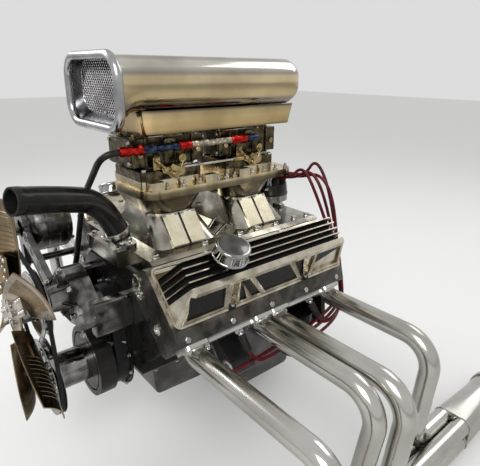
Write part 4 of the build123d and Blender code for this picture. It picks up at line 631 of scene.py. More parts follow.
# Carburettors: covers, screws, plugs, springs and levers on the two bodies
CARBURETTORS = (("front", -372.0), ("rear", -152.0))
BOWL_Z, SHAFT_Z, ROD_Z = 462, 414, 427
BRASS_CAP = ((0, 7), (3, 7), (3.6, 6), (3.6, 3.2), (8, 3.0), (8.4, 0))
CHOKE_COVER = ((0, 15), (5, 15), (7, 12), (9, 5), (12, 5), (12.5, 0))
for name, centre in CARBURETTORS:
    plates, screws, brass = Shape(), Shape(), Shape()
    for end in (-1, 1):
        bowl = centre + end * 71
        face = centre + end * 88
        plates.box((0, centre + end * 57, BOWL_Z), (113, 61, 5))
        plates.box((0, face - end * 0.6, BOWL_Z), (98, 46, 4))
        plates.turned((0, bowl, 435), DOWN, ((0, 21), (6, 21), (8, 18), (8, 0)), 28)
        plates.box((0, bowl + end * 4, 425.5), (30, 3, 14))
        for x in (-44, 44):
            for z in (441, 483):
                screws.bolt((x, face - end * 0.5, z), (0, end, 0), 4.4, 3.6)
        for x in (-1, 1):
            out = (x, 0, 0)
            brass.hexagon((x * 53.6, bowl, 458), out, 6.0, 5.0)
            brass.turned((x * 30, bowl, 489.5), UP, BRASS_CAP, 20)
            screws.bolt((x * 57, centre + end * 66, 424), UP, 5.0, 4.5)
            plates.box((x * 52, centre + end * 26, 452), (5, 34, 26))
            screws.cap_screw((x * 54.2, centre + end * 17, 464), out, 2.8, 2.4)
            screws.cap_screw((x * 54.2, centre + end * 35, 440), out, 2.8, 2.4)
    for x in (-1, 1):
        plates.turned((x * 51.6, centre, 478), (x, 0, 0), CHOKE_COVER, 28)
        plates.box((x * 56, centre + 30, 431), (18, 6, 40))
        brass.rod([(x * 63, centre + y, 431) for y in (14, 46)], 2.6, 12)
        screws.rod(coil((x * 63, centre + 18, 431), (x * 63, centre + 42, 431), 4.0, 8), 0.7, 6)
    plates.turned((0, centre, SHAFT_Z), LEFT, ((-69, 8.5), (-69, 0), (69, 0), (69, 8.5)), 24)
    plates.done(f"carburettor_plates_{name}", "carburettor_metal", bevel=0.8)
    screws.done(f"carburettor_screws_{name}", "clamp_steel")
    brass.done(f"carburettor_plugs_{name}", "linkage_plating")

# Throttle linkage: levers on both shafts, a rod with barrels between them, springs and links
LEVER = (
    (-9, -7), (0, -10), (9, -7), (13, 2), (11, 12), (4, 15), (-2, 10), (-14, 15), (-25, 20), (-31, 14),
    (-28, 6), (-18, 2),
)
SMALL_LEVER = [(u * 0.8 + 12, v * 0.9 + 6) for u, v in LEVER]
# Turned pieces at each carburettor's levers: place, with Y from its middle, profile and number of sides
LEVER_TURNED = (
    ((68, 0, SHAFT_Z), ((0, 7), (8, 7), (8.4, 5.6), (12, 5.6), (12.4, 4), (12.4, 0)), 24),
    ((70, -24, ROD_Z), ((0, 4.6), (9, 4.6), (9.6, 3.4), (9.6, 0)), 20),
    ((66, 22, 446), ((0, 9), (2, 9.6), (4, 9), (4.5, 4.5), (9, 4.5), (9.4, 0)), 28),
)
linkage, rods = Shape(), Shape()
for _, centre in CARBURETTORS:
    linkage.prism(LEVER, (69.6, centre, SHAFT_Z), REAR, UP, 3.0)
    linkage.prism(SMALL_LEVER, (75.6, centre, SHAFT_Z), REAR, UP, 2.4)
    for (x, y, z), profile, steps in LEVER_TURNED:
        linkage.turned((x, centre + y, z), LEFT, profile, steps)
    linkage.rod([(76, centre + 22, 446), (78, centre + 12, 430), (77, centre + 8, 416)], 1.8, 8)
    linkage.box((66, centre - 40, 440), (3, 26, 16))
    linkage.rod(coil((76, centre - 26, 430), (74, centre - 44, 448), 3.2, 9), 0.8, 6)
    linkage.hexagon((67, centre - 40, 448), LEFT, 4.6, 5)
    linkage.hexagon((76, centre, SHAFT_Z), LEFT, 6.4, 5)
for start, end in ((-392, -362), (-212, -180)):
    span = end - start
    linkage.turned((69, start, ROD_Z), REAR, ((0, 4.0), (1.2, 6.0), (span - 1.2, 6.0), (span, 4.0)), 20)
rods.rod([(69, -364, ROD_Z), (69, -208, ROD_Z)], 3.3, 14)
rods.rod([(60, -425, 495), (60, -345, 495)], 2.2, 10)
rods.rod([(60, -236, 494), (60, -128, 494)], 2.2, 10)
linkage.done("linkage_levers", "linkage_plating", replaces="throttle_linkage", bevel=0.4)
rods.done("linkage_rods", "clamp_steel")

# Fuel line: hose ends, tees and the braided hose between them
LINE_X, LINE_Z = 80.0, 474.0
LINE_COLLARS = ((0, 8.2), (5, 8.2), (6, 6.4), (16, 6.4), (17, 9.0), (22, 9.0), (23, 6.6), (48, 6.6))


def line_hex(shape, start, end, radius, turn=0.2):
    """A hexagon on the fuel line's axis."""
    shape.hexagon((LINE_X, start, LINE_Z), REAR, radius, end - start, turn)


def line_turned(shape, start, profile):
    """A turned piece on the fuel line's axis."""
    shape.turned((LINE_X, start, LINE_Z), REAR, profile, 28)


def hose_end(start, end):
    """A red hose end: a sleeve with two hexagons."""
    span = end - start
    sleeve = ((0, 8.6), (1.5, 10.0), (span * 0.45, 10.6), (span * 0.5, 8.2), (span * 0.6, 8.2))
    line_turned(red, start, sleeve)
    line_hex(red, start + span * 0.58, end, 11.0)
    line_hex(red, start + span * 0.2, start + span * 0.42, 10.9, 0.7)


red, blue = Shape(), Shape()
hose_end(-499.0, -448.2)
line_hex(red, -366.0, -352.0, 11.0)
line_turned(red, -353.0, ((0, 9.6), (3, 10.4), (16, 9.6), (18, 8.4)))
hose_end(-227.0, -183.2)
line_hex(blue, -448.0, -426.0, 9.6, 0.5)
line_turned(blue, -426.0, LINE_COLLARS)
line_hex(blue, -380.0, -366.2, 9.8)
line_hex(blue, -183.0, -168.0, 9.6)
line_turned(blue, -168.4, ((0, 7.4), (4, 7.4), (5, 8.6), (16, 8.6), (17, 7.0), (20, 6.4), (20, 0)))
for y in (-432.0, -160.0):
    blue.turned((LINE_X, y, LINE_Z), RIGHT, ((0, 7.4), (6, 7.4), (7, 6.0), (25.6, 6.0)), 24)
    blue.hexagon((LINE_X - 9, y, LINE_Z), RIGHT, 8.8, 9)
    blue.turned((LINE_X - 19.5, y, LINE_Z), RIGHT, ((0, 8.4), (5, 8.4)), 24)
red.done("fuel_ends_red", "fitting_red", replaces="fuel_fittings_red", bevel=0.3)
blue.done("fuel_tees_blue", "fitting_blue", replaces="fuel_fittings_blue", bevel=0.3)

braid = Shape()
LINK = ((LINE_X, -334.6, LINE_Z), (LINE_X, -227.4, LINE_Z))
STRANDS = 8
axis = Vector((LINE_X, 0, LINE_Z))
braid.rod(LINK, 5.6, 20)
for turns in (-4.5, 4.5):
    for strand in range(STRANDS):
        twist = Matrix.Rotation(2 * pi * strand / STRANDS, 4, "Y")
        braid.rod([axis + twist @ (p - axis) for p in coil(*LINK, 6.1, turns, 14)], 0.85, 5)
braid.done("fuel_link_braid", "braid_steel", replaces="fuel_link_hose")

FEED_POINTS = (
    (80, -499.3, 474), (80, -517, 474), (68, -534, 462), (20, -530, 424), (-45, -532, 362), (-85, -536, 268),
    (-128, -535, 190), (-152, -552, 100), (-181.3, -560, 6), (-181.3, -498.3, 6),
)
smooth_line("fuel_feed_line", (FEED_POINTS,), 6.6, "hose_rubber", "fuel_feed_hose", 12, 5)

# Plenum and towers: studs on the rim, bolts at the intake's foot, webs between the runners
RIM_Z, FOOT_Z = 386, 272
TOWERS = (-374.0, -164.0)
NECK = Vector((35, -488, 281))
STUD = ((0, 6.5), (1.2, 6.5), (1.4, 3.2), (13, 3.2), (13.6, 2.4))
studs, bolts, webs = Shape(), Shape(), Shape()
for side in (-1, 1):
    for y in (-395, -352, -310, -262, -236, -212, -160, -120, -80, -45):
        studs.turned((side * 75.5, y, RIM_Z), UP, STUD, 16)
        studs.hexagon((side * 75.5, y, RIM_Z + 1.2), UP, 5.6, 5)
    for y in (-470, -350, -290, -252, -200, -140, -75, -30):
        bolts.bolt((side * 144, y, FOOT_Z), UP, 7.0, 6.0)
    webs.prism(((-298, 272), (-238, 272), (-262, 300), (-274, 300)), (side * 78 - 4, 0, 0), REAR, UP, 8)
    webs.prism(((-298, 272), (-238, 272), (-266, 292), (-270, 292)), (side * 112 - 3, 0, 0), REAR, UP, 6)
for centre in TOWERS:
    for x in (-66, 66):
        for y in (-63, 63):
            bolts.bolt((x, centre + y, 338.5), DOWN, 5.5, 4.5)
for x in (-62, 62):
    bolts.bolt((x, -508, FOOT_Z), UP, 6.5, 5.5)
for x in (-29, 29):
    bolts.bolt(NECK + Vector((x, 0, 0)), UP, 7.0, 6.0)

# Polished faces on the runners, notched at the top, with a strip of painted shade in the groove between each
# pair.
# Both outlines are given across the slope and up it
RUNNER_FACE = (
    (-18.7, 7), (18.7, 7), (18.7, 74), (11, 74), (9.5, 79), (2, 79), (0, 76.5), (-2, 79), (-9.5, 79),
    (-11, 74), (-18.7, 74),
)
RUNNER_GROOVE = ((-2.4, 5), (2.4, 5), (2.4, 81), (-2.4, 81))
RUNNER_RUN, RUNNER_RISE = 54.0, 67.0
faces, groove_shade = Shape(), Shape()
for side in (-1, 1):
    rise = Vector((side * -RUNNER_RUN, 0, RUNNER_RISE)).normalized()
    out = Vector((side * RUNNER_RISE, 0, RUNNER_RUN)).normalized()
    for centre in TOWERS:
        origin = Vector((side * 128.0, centre, 268.0))
        for middle in (-22.0, 22.0):
            outline = in_plane(origin, Vector(REAR), rise, [(middle + u, v) for u, v in RUNNER_FACE])
            faces.loft([[point + out * lift for point in outline] for lift in (3.9, 4.7)])
        # A strip of painted shade in the groove
        low = [point + out * 0.2 for point in in_plane(origin, Vector(REAR), rise, RUNNER_GROOVE)]
        groove_shade.loft([low, [point + out * 1.2 for point in low]])
faces.done("runner_faces", "intake_alloy", bevel=0.3, look="runner_alloy")
groove_shade.done("runner_groove_shade", "intake_alloy", look="recess_dark")
studs.done("plenum_studs", "clamp_steel")
bolts.done("intake_bolts", "clamp_steel")
webs.done("intake_webs", "intake_alloy", bevel=1.0)

# Header bolts, weld beads at the ports and collectors, and the collector's clamp bolts
PORT_UP, FLANGE_FACE = 274.0, 103.0
BUNDLE_X, BUNDLE_Z, BUNDLE_OFFSET = 553, -180, 21.5
# Each tube: its port along the head, then its place in the bundle across and up
HEADER_RUNS = ((-193.0, 1, -1), (-24.6, -1, -1), (24.6, 1, 1), (193.0, -1, 1))
for side, bank in SIDES:
    bolts, beads = Shape(), Shape()
    out, up = bank_way(1, 0, side), bank_way(0, 1, side)
    for along, _, _ in HEADER_RUNS:
        middle = bank_point(FLANGE_FACE, along, PORT_UP, side)
        beads.rod(in_plane(middle, Vector(REAR), up, circle_points(20.9, 40)), 1.8, 8, closed=True)
        for u, v in ((-21.5, 21.0), (21.5, -21.0)):
            bolts.bolt(bank_point(FLANGE_FACE, along + u, PORT_UP + v, side), out, 5.4, 5.0)
    for _, across, rise in HEADER_RUNS:
        end = Vector((
            side * (BUNDLE_X + across * BUNDLE_OFFSET), 68.8 + SETBACK[side], BUNDLE_Z + rise * BUNDLE_OFFSET,
        ))
        beads.rod(in_plane(end, Vector(LEFT), Vector(UP), circle_points(21.0, 40)), 1.6, 8, closed=True)
    clamp = Vector((side * BUNDLE_X, 284.3 + SETBACK[side], BUNDLE_Z))
    for turn in (25, 205):
        place = clamp + spoke(turn) * 50
        bolts.hexagon(place - Vector((0, 9, 0)), REAR, 6.0, 5)
        bolts.rod([place - Vector((0, 8, 0)), place + Vector((0, 10, 0))], 3.4, 12)
    bolts.done(f"header_bolts_{bank}", "clamp_steel")
    beads.done(f"header_welds_{bank}", "header_coat")

# Front drive: dished pulleys, the crank's bolt and washer, the fan's ribs and bolts
BELT_Y, WEB_Y = -666, -668
CRANK_WASHER = ((-4, 15), (-5, 14), (-5, 0), (11, 0), (11, 16.4), (-3.4, 16.4))


def pulley_ring(shape, z, radius, hub):
    """A stamped pulley in the belt's plane: a grooved rim, a dished web and a hub."""
    half, dish = 8.0, 3.0
    profile = (
        (-half, radius), (-6.6, radius), (-4.2, radius - 11), (4.2, radius - 11), (6.6, radius),
        (half, radius), (half, radius - 2), (5.4, radius - 12.5), (half, radius - 16), (half, hub),
        (half - dish, hub), (-2.0, hub + 1), (-2.0, radius - 19), (-5.6, radius - 13), (-half, radius - 2),
    )
    shape.turned((0, BELT_Y, z), REAR, profile, 64, closed=True)


crank_face = Shape()
pulley_ring(crank_face, 0, 85.0, 16.0)
crank_face.turned((0, -658, 0), REAR, ((0, 16), (0, 40), (74, 40), (74, 16)), 48, closed=True)
crank_face.turned((0, WEB_Y, 0), REAR, CRANK_WASHER, 40)
crank_face.hexagon((0, -673, 0), FRONT, 13, 8)
for n in range(3):
    crank_face.bolt(spoke(90 + 120 * n) * 28 + Vector((0, WEB_Y, 0)), FRONT, 6.0, 5.0)
for n in range(6):
    place = spoke(60 * n) * 52 + Vector((0, WEB_Y - 0.2, 0))
    crank_face.turned(place, FRONT, ((0, 9.5), (1.4, 9.0), (1.4, 6.5), (0.2, 6.5)), 24, closed=True)
crank_face.done("crank_pulley_face", "pulley_chrome", CRANK, replaces="crank_pulley")

FAN_CENTRE, BLADES = Vector((0, -712.0, 175.0)), 6
FAN_FACE = FAN_CENTRE - Vector((0, 2, 0))
hub = Shape()
for n in range(6):
    hub.bolt(FAN_FACE + spoke(60 * n + 15) * 24, FRONT, 6.0, 5.0)
hub.turned(FAN_FACE, FRONT, ((0, 14), (2, 14), (4, 11), (4, 0)), 40)
for n in range(BLADES):
    for reach in (70, 92, 112):
        for across in (-11, 11):
            place = FAN_FACE + spoke(60 * n + 30) * reach + spoke(60 * n + 120) * across
            hub.turned(place, FRONT, ((0, 5), (1.4, 4.4), (2.4, 2.6), (2.7, 0)), 16)
hub.done("fan_rivets", "clamp_steel", FAN_DRIVE)

# Fine ribs across each blade; its sections give the distance from the axis, half the width and the pitch
FAN_SECTIONS = ((58.0, 30.0, 38.0), (145.0, 43.0, 31.0), (228.0, 48.0, 24.0))
RIBS, RIB_START, RIB_STEP = 10, 118, 9.5


def blade_point(blade, radius, share, face):
    """A place on a fan blade: share of its half width, on its front or back."""
    low, high = FAN_SECTIONS[:2] if radius < FAN_SECTIONS[1][0] else FAN_SECTIONS[1:]
    part = (radius - low[0]) / (high[0] - low[0])
    half, pitch = [a + (b - a) * part for a, b in zip(low[1:], high[1:])]
    pitch = radians(pitch)
    across, lift = share * half, 9.0 * (1 - share * share) + face
    place = Vector((
        across * cos(pitch) - lift * sin(pitch), across * sin(pitch) + lift * cos(pitch), radius,
    ))
    return Matrix.Rotation(radians(60 * blade), 4, "Y") @ place + FAN_CENTRE


ribs = Shape()
for blade in range(BLADES):
    for face in (1.1, -1.1):
        for rib in range(RIBS):
            reach = RIB_START + rib * RIB_STEP
            ribs.rod([blade_point(blade, reach, share / 6, face) for share in range(-5, 5)], 0.9, 6)
ribs.done("fan_ribs", "fan_chrome", FAN_DRIVE)

PUMP_Z = 175.0
FAN_SPACER = ((-8, 30), (0, 34), (3, 34), (5, 31), (20, 31), (28, 31), (31, 34), (36, 34), (36, 0), (-16, 0))
pump_face = Shape()
pulley_ring(pump_face, PUMP_Z, 70.0, 20.0)
pump_face.turned((0, -658, PUMP_Z), REAR, ((0, 15.9), (0, 38), (8.5, 38), (8.5, 15.9)), 48, closed=True)
pump_face.turned((0, -674, PUMP_Z), FRONT, FAN_SPACER, 48)
pump_face.turned((0, -650, PUMP_Z), REAR, ((0, 15.9), (31.4, 15.9), (31.4, 0)), 32)
pump_face.done("pump_pulley_face", "pulley_chrome", FAN_DRIVE, replaces="pump_pulley")

# Belt: ribbed inside and bevelled at its edges. Each pulley: its place across and up, and its radius
BELT_PULLEYS = ((0.0, 0.0, 85.0), (0.0, 175.0, 70.0), (-235.0, 262.0, 34.0))
BELT_INSET, BELT_STEP = 0.5, 6.0
BELT_SECTION = (
    (-3.6, 0.5), (3.6, 0.5), (4.4, 1.3), (4.2, 2.2), (3.0, 8.2), (-3.0, 8.2), (-4.2, 2.2), (-4.4, 1.3),
)


def belt_line():
    """Points of the belt's line in even steps: the hull of the circles of all three pulleys."""
    dense = sorted(
        (x + (radius - BELT_INSET) * cos(a), z + (radius - BELT_INSET) * sin(a))
        for x, z, radius in BELT_PULLEYS for a in (radians(n / 2) for n in range(720))
    )
    hull = []
    for points in (dense, dense[::-1]):
        chain = []
        for x, z in points:
            while len(chain) > 1:
                (x0, z0), (x1, z1) = chain[-2:]
                if (x1 - x0) * (z - z0) - (z1 - z0) * (x - x0) > 0:
                    break
                chain.pop()
            chain.append((x, z))
        hull += chain[:-1]
    line = []
    for start, end in zip(hull, hull[1:] + hull[:1]):
        parts = max(1, int(hypot(end[0] - start[0], end[1] - start[1]) / BELT_STEP))
        line += [[a + (b - a) * k / parts for a, b in zip(start, end)] for k in range(parts)]
    return line


belt = Shape()
line = belt_line()
rings = []
for n, (x, z) in enumerate(line):
    before, after = line[n - 1], line[(n + 1) % len(line)]
    way = Vector((after[0] - before[0], 0, after[1] - before[1])).normalized()
    inward = Vector((-way.z, 0, way.x))
    rings.append([Vector((x, BELT_Y + u, z)) + inward * (v - BELT_INSET) for u, v in BELT_SECTION])
belt.loft(rings, closed=True)
belt.done("ribbed_belt", "belt_rubber", replaces="fan_belt")

# Alternator: finned housing with discs of painted shade in its slots, its fan and pulley, and the bracket's
# recesses, filled with painted shade, and bolts
PUMP_FACE_Y, BRACKET_Y, TIMING_Y = -610, -622, -513
HOUSING = (
    (0, 9.5), (0, 40), (2, 48), (8, 57), (14, 61.4), (32, 62), (34, 60), (36, 60), (38, 62), (56, 62),
    (58, 59.4), (60, 59.4), (62, 62), (84, 61.6), (92, 56), (97, 48), (98, 30), (98, 0), (30, 0), (30, 9.5),
)
WHEEL = (
    (-8, 34), (-6.6, 34), (-4.2, 23), (4.2, 23), (6.6, 34), (8, 34), (8, 26), (9, 16), (38.5, 16),
    (38.5, 8.5), (85.8, 8.5), (85.8, 0), (-12, 0), (-12, 7), (-8, 12), (-5, 14), (-5, 26), (-8, 32),
)


def alternator_axis(y):
    """A place on the alternator's axis."""
    return Vector((-235.0, y, 262.0))


housing, dark, fasteners = Shape(), Shape(), Shape()
housing.turned(alternator_axis(-610), REAR, HOUSING, 72, closed=True)
for n in range(12):
    out = spoke(30 * n + 15)
    place = alternator_axis(-574) + out * 58.5
    housing.prism(((-4, 0), (4, 0), (3, 3), (-3, 3)), place, out.cross(REAR), out, 34)
    # Black discs of painted shade in the housing's slots
    dark.turned(alternator_axis(-511.9) + out * 38, REAR, ((-0.6, 5.5), (0.1, 5.5)), 16)
for n in range(3):
    fasteners.bolt(alternator_axis(-514) + spoke(120 * n + 75) * 50, REAR, 4.6, 4.0)
fasteners.turned(alternator_axis(-512), REAR, ((0, 14), (2, 14), (3, 12), (3, 0)), 32)
housing.done("alternator_housing", "alternator_alloy", replaces="alternator")

for x, z, radius in ((-195, 250, 12), (-160, 227, 12), (-118, 205, 14)):
    ring = ((0, radius + 2.4), (1.2, radius + 2.2), (1.6, radius + 1), (1.2, radius))
    # Black discs of painted shade in the bracket's recesses, each in a bright ring
    dark.turned((x, BRACKET_Y - 0.2, z), FRONT, ((0, radius), (0.5, radius), (0.5, 0)), 32)
    fasteners.turned((x, BRACKET_Y + 0.4, z), FRONT, ring, 36, closed=True)
for x, z in ((-75, 176), (-300, 292), (-248, 170)):
    fasteners.bolt((x, BRACKET_Y, z), FRONT, 8.0, 6.5)
edge = Shape()
way = Vector((-225, 0, 116)).normalized()
off = Vector((way.z, 0, -way.x))
for offset in (-21, 21):
    start, end = Vector((-75, -621.4, 176)) - way * 2, Vector((-196, -621.4, 238))
    edge.rod([start + off * offset, end + off * offset], 1.8, 8)
edge.done("bracket_edges", "bracket_alloy")
dark.done("slot_and_recess_shade", "block_paint")
fasteners.done("alternator_bolts", "clamp_steel")

rotor = Shape()
rotor.turned(alternator_axis(BELT_Y), REAR, WHEEL, 56)
rotor.hexagon(alternator_axis(-676), FRONT, 11, 7)
rotor.done("alternator_wheel", "pulley_chrome", ROTOR, replaces="alternator_pulley")

# Water pump: bolts, ribs and the clamp lip of its inlet
PUMP_LIP = ((0, 17), (0, 19), (2, 20.4), (6, 20.6), (8, 19.2), (8, 17))
lugs, ribs = Shape(), Shape()
middle = Vector((0, PUMP_FACE_Y, PUMP_Z))
for x in (-93, 93):
    for z in (126, 178):
        lugs.bolt((x, PUMP_FACE_Y, z), FRONT, 7.0, 6.0)
for n in range(5):
    lugs.bolt(middle + spoke(36 + 72 * n) * 52, FRONT, 5.6, 5.0)
    out = spoke(70.3775 + 72 * n)
    ribs.prism(((30, 0), (56, 0), (54, 3), (31, 17)), middle - out.cross(FRONT) * 2, out, FRONT, 4)
ribs.turned((-156, -589, 138), LEFT, PUMP_LIP, 40, closed=True)
lugs.done("pump_bolts", "clamp_steel")
ribs.done("pump_ribs", "pump_alloy", bevel=0.8)

# Timing cover bolts, the damper's timing marks and the pointer
TIMING_BOLTS = (
    (-78, 26), (-79, -18), (-50, -64), (50, -64), (79, -18), (78, 26), (68, 96), (52, 158), (0, 180),
    (-52, 158), (-68, 96),
)
TIMING_INSET = 0.985
edge, marks = Shape(), Shape()
for x, z in TIMING_BOLTS:
    edge.bolt((x * TIMING_INSET, TIMING_Y, z), FRONT, 5.0, 4.5)
edge.prism(((-8, 0), (8, 0), (4, 40), (-4, 46)), (66, -515, 52), (0.3, 0, 1), (-0.4, -1, 0.2), 2.4)
edge.done("timing_bolts", "clamp_steel")
for n in range(5):
    out = spoke(64 + 5 * n)
    place = out * 82 + Vector((0, -552, 0))
    marks.prism(((-0.4, 0), (0.4, 0), (0.4, 0.3), (-0.4, 0.3)), place, out.cross(REAR), out, 12)
marks.done("damper_marks", "clamp_steel", CRANK)

# Radiator hose with a bead near each end, and the worm clamp that holds it
HOSE_POINTS = ((36.5, -493.2, 293.9), (46, -526, 376), (75, -620, 404), (98, -702, 418))
HOSE_OUTER, HOSE_INNER, HOSE_BEAD = 24.6, 20.6, 0.8
line = smooth_points(HOSE_POINTS)
last = len(line) - 1
hose = Shape()
outer, inner = [], []
side = Vector(LEFT)
for n, point in enumerate(line):
    way = (line[min(n + 1, last)] - line[max(n - 1, 0)]).normalized()
    side = (side - way * side.dot(way)).normalized()
    swell = HOSE_BEAD if n in (1, 2, last - 2, last - 1) else 0.0
    for rings, radius in ((outer, HOSE_OUTER + swell), (inner, HOSE_INNER)):
        rings.append(in_plane(point, side, way.cross(side), circle_points(radius, 40)))
hose.loft(outer + inner[::-1], closed=True)
hose.done("upper_hose", "hose_rubber", replaces="radiator_hose", sharp=60)

CLAMP_BAND = ((0, 25.2), (0, 26.2), (0.8, 26.6), (12.2, 26.6), (13, 26.2), (13, 25.2))
CLAMP_SCREW = ((0, 0), (0, 4.2), (2, 4.6), (5, 4.6), (5.4, 3.6), (26, 3.6), (27, 3.0), (27, 0))
foot, following = [Vector(point) for point in HOSE_POINTS[:2]]
way = (following - foot).normalized()
facing = Vector((0.2, -1, 0))
out = (facing - way * way.dot(facing)).normalized()
cross = way.cross(out)
seat = foot + way * 12.5
clamp = Shape()
clamp.turned(foot + way * 6, way, CLAMP_BAND, 64, closed=True)
clamp.box(seat + out * 28.5, (16, 6, 14), cross, out)
clamp.turned(seat + out * 29.5 - cross * 14, cross, CLAMP_SCREW, 20)
for n in range(40):
    turn = 2 * pi * n / 64 + 0.6
    face = out * cos(turn) + cross * sin(turn)
    clamp.box(seat + face * 26.7, (0.9, 0.5, 8), face.cross(way), face)
clamp.done("worm_clamp", "clamp_steel", replaces="hose_clamp")

# Water neck: bead above the flange and two bolts
NECK_BEAD = ((0, 20), (0, 22.6), (2, 23.2), (5, 21.4), (5, 20))
neck = Shape()
neck.turned(NECK + way * 3, way, NECK_BEAD, 40, closed=True)
for x in (-26, 26):
    neck.bolt(NECK + Vector((x, 0, 0)), UP, 7.0, 6.5)
neck.done("neck_bolts", "clamp_steel")

# Plug wires, in one piece for each side, and the boots at both of their ends. Each wire: its tower's
# turn about the distributor, its shift back, how far out it reaches, the height of its bend, the height
# of its run beside the cover, and the plug's place along the bank
DISTRIBUTOR_Y, TOWER_REACH = -26, 38
WIRE_ROWS = (
    (-67.5, -21.0, 118.0, 398.0, 54.0, -152.0),
    (-22.5, -2.0, 132.0, 388.0, 42.0, -66.0),
    (22.5, 18.0, 146.0, 378.0, 30.0, 66.0),
    (67.5, 38.0, 108.0, 408.0, 66.0, 152.0),
)
CAP_BOOT = (
    (0, 7.4), (0, 9.2), (9, 9.2), (11, 8.4), (13, 8.4), (14, 6.8), (15.5, 6.8), (16.5, 5.8), (20, 5.4),
    (20, 4.0),
)
PLUG_BOOT = (
    (0, 6.4), (0, 9.4), (4, 9.6), (6, 8.6), (22, 7.8), (24, 8.6), (26, 7.6), (28, 8.4), (30, 7.2), (32, 7.8),
    (36.8, 5.6), (36.8, 0),
)
for side, bank in SIDES:
    setback = SETBACK[side]
    out = bank_way(1, 0, side)
    boots, steel, white = Shape(), Shape(), Shape()
    routes = []
    for angle, edge, reach, top, run, along in WIRE_ROWS:
        x = side * TOWER_REACH * cos(radians(angle))
        y = DISTRIBUTOR_Y + TOWER_REACH * sin(radians(angle))
        plug_y = BANK_CENTRE_Y + setback + along
        routes.append([
            (x, y, 346.3), (x, y, 359.5), (side * 94, -26 + edge, 359.5), (side * reach, -4 + edge, top),
            (side * (reach + 46), 2 + edge, top - 66), (side * 222, 22 + setback, run + 96),
            (side * 262, setback, run), (side * 300.6, plug_y + 34, run), (side * 294.6, plug_y, 59.0),
            (side * 283.3, plug_y, 70.3),
        ])
        boots.turned((x, y, 335), UP, CAP_BOOT, 24)
        foot = bank_point(95.3, along, 250, side)
        steel.hexagon(foot + out * 3, out, 10.0, 9, 0.3)
        steel.turned(foot, out, ((0, 9), (3, 9), (3, 8), (12, 8), (13, 6.5), (14, 6.5)), 24)
        white.turned(foot + out * 12, out, ((0, 6.0), (6, 5.6), (9, 5.2), (9, 0)), 24)
        boots.turned(foot + out * 18, out, PLUG_BOOT, 28)
    smooth_line(f"wire_set_{bank}", routes, 4.0, "wire_red", f"plug_wires_{bank}", 10, 4)
    boots.done(f"wire_boots_{bank}", "boot_rubber", replaces=f"spark_plugs_{bank}")
    steel.done(f"plug_shells_{bank}", "clamp_steel")
    white.done(f"plug_insulators_{bank}", "breather_chrome")

# Distributor: clips, screws and ribs on the cap, and the hold-down
CLIP = ((50.6, 290), (52.6, 300), (51.8, 318), (47, 333), (40, 335))
axis = Vector((0, DISTRIBUTOR_Y, 0))
clips, cap_ribs = Shape(), Shape()
for y in (1, -1):
    out = Vector((0, y, 0))
    clips.rod(in_plane(axis, out, Vector(UP), CLIP), 2.0, 8)
    clips.cap_screw(axis + Vector((0, y * 50.2, 294)), out, 3.6, 3)
for n in range(8):
    turn = radians(45 * n)
    out = Vector((cos(turn), sin(turn), 0))
    foot = axis + Vector((0, 0, 331.8)) + out * 14 - out.cross(UP) * 1.5
    cap_ribs.prism(((0, 0), (24, 0), (22, 4), (4, 4)), foot, out, UP, 3)
cap_ribs.turned((0, DISTRIBUTOR_Y, 302), UP, ((0, 49), (0, 50.8), (4, 50.8), (5, 49)), 48, closed=True)
clips.box((34, DISTRIBUTOR_Y, 276), (40, 14, 5), LEFT, REAR)
clips.bolt((46, DISTRIBUTOR_Y, 278.5), UP, 6, 5)
clips.done("distributor_clips", "clamp_steel")
cap_ribs.done("distributor_cap_ribs", "cap_plastic")

# Block, pan and heads: core plugs, bolts along the rails and end plugs
CORE_PLUG = ((0, 21), (1.6, 21), (2.2, 19.6), (0.9, 18), (0.6, 0))
END_PLUG = ((0, 11), (2, 11), (3, 9.6), (3, 6), (0.8, 6), (0.8, 0))
HEAD_HALF = 238.2
cups, bolts = Shape(), Shape()
for side, _ in SIDES:
    out = Vector((side * 0.68, 0, -0.733)).normalized()
    for along in (-150, 0, 130):
        place = Vector((side * 181, BANK_CENTRE_Y + along + SETBACK[side] * 0.5, 73.5)) - out * 0.6
        cups.turned(place, out, CORE_PLUG, 40)
    for n in range(9):
        bolts.bolt((side * 117, -472 + 54 * n, -5), DOWN, 5.4, 4.5)
    for along in (-212, -106, 0, 106, 212):
        bolts.bolt(bank_point(84, along, 303.8, side), bank_way(14, 29, side), 6.5, 5.5)
    for across, up in ((-40, 250), (40, 262)):
        bolts.turned(bank_point(across, -HEAD_HALF, up, side), FRONT, END_PLUG, 28)
        bolts.turned(bank_point(across, HEAD_HALF, up, side), REAR, END_PLUG, 28)
cups.done("core_plugs", "pan_steel")
drain = Shape()
drain.bolt((0, -60, -188), DOWN, 11, 7)
drain.turned((118, -120, 22), LEFT, ((6, 9), (14, 9), (16, 7), (16, 0)), 24)
drain.done("drain_plug", "clamp_steel")
bolts.done("block_bolts", "clamp_steel")

# Head's front corner: the bright boss on each side, with a black disc of painted shade in its port
boss, port = Shape(), Shape()
for side, _ in SIDES:
    place = bank_point(-62, -HEAD_HALF, 262, side)
    boss.turned(place, FRONT, ((0, 19), (3, 19), (4.5, 17), (4.5, 12), (1.0, 11.4)), 36, closed=True)
    # A black disc of painted shade in the port
    port.turned(place, FRONT, ((0.2, 11.6), (1.2, 11.4), (1.2, 0)), 32)
boss.done("head_bosses", "intake_alloy")
port.done("head_port_shade", "block_paint")

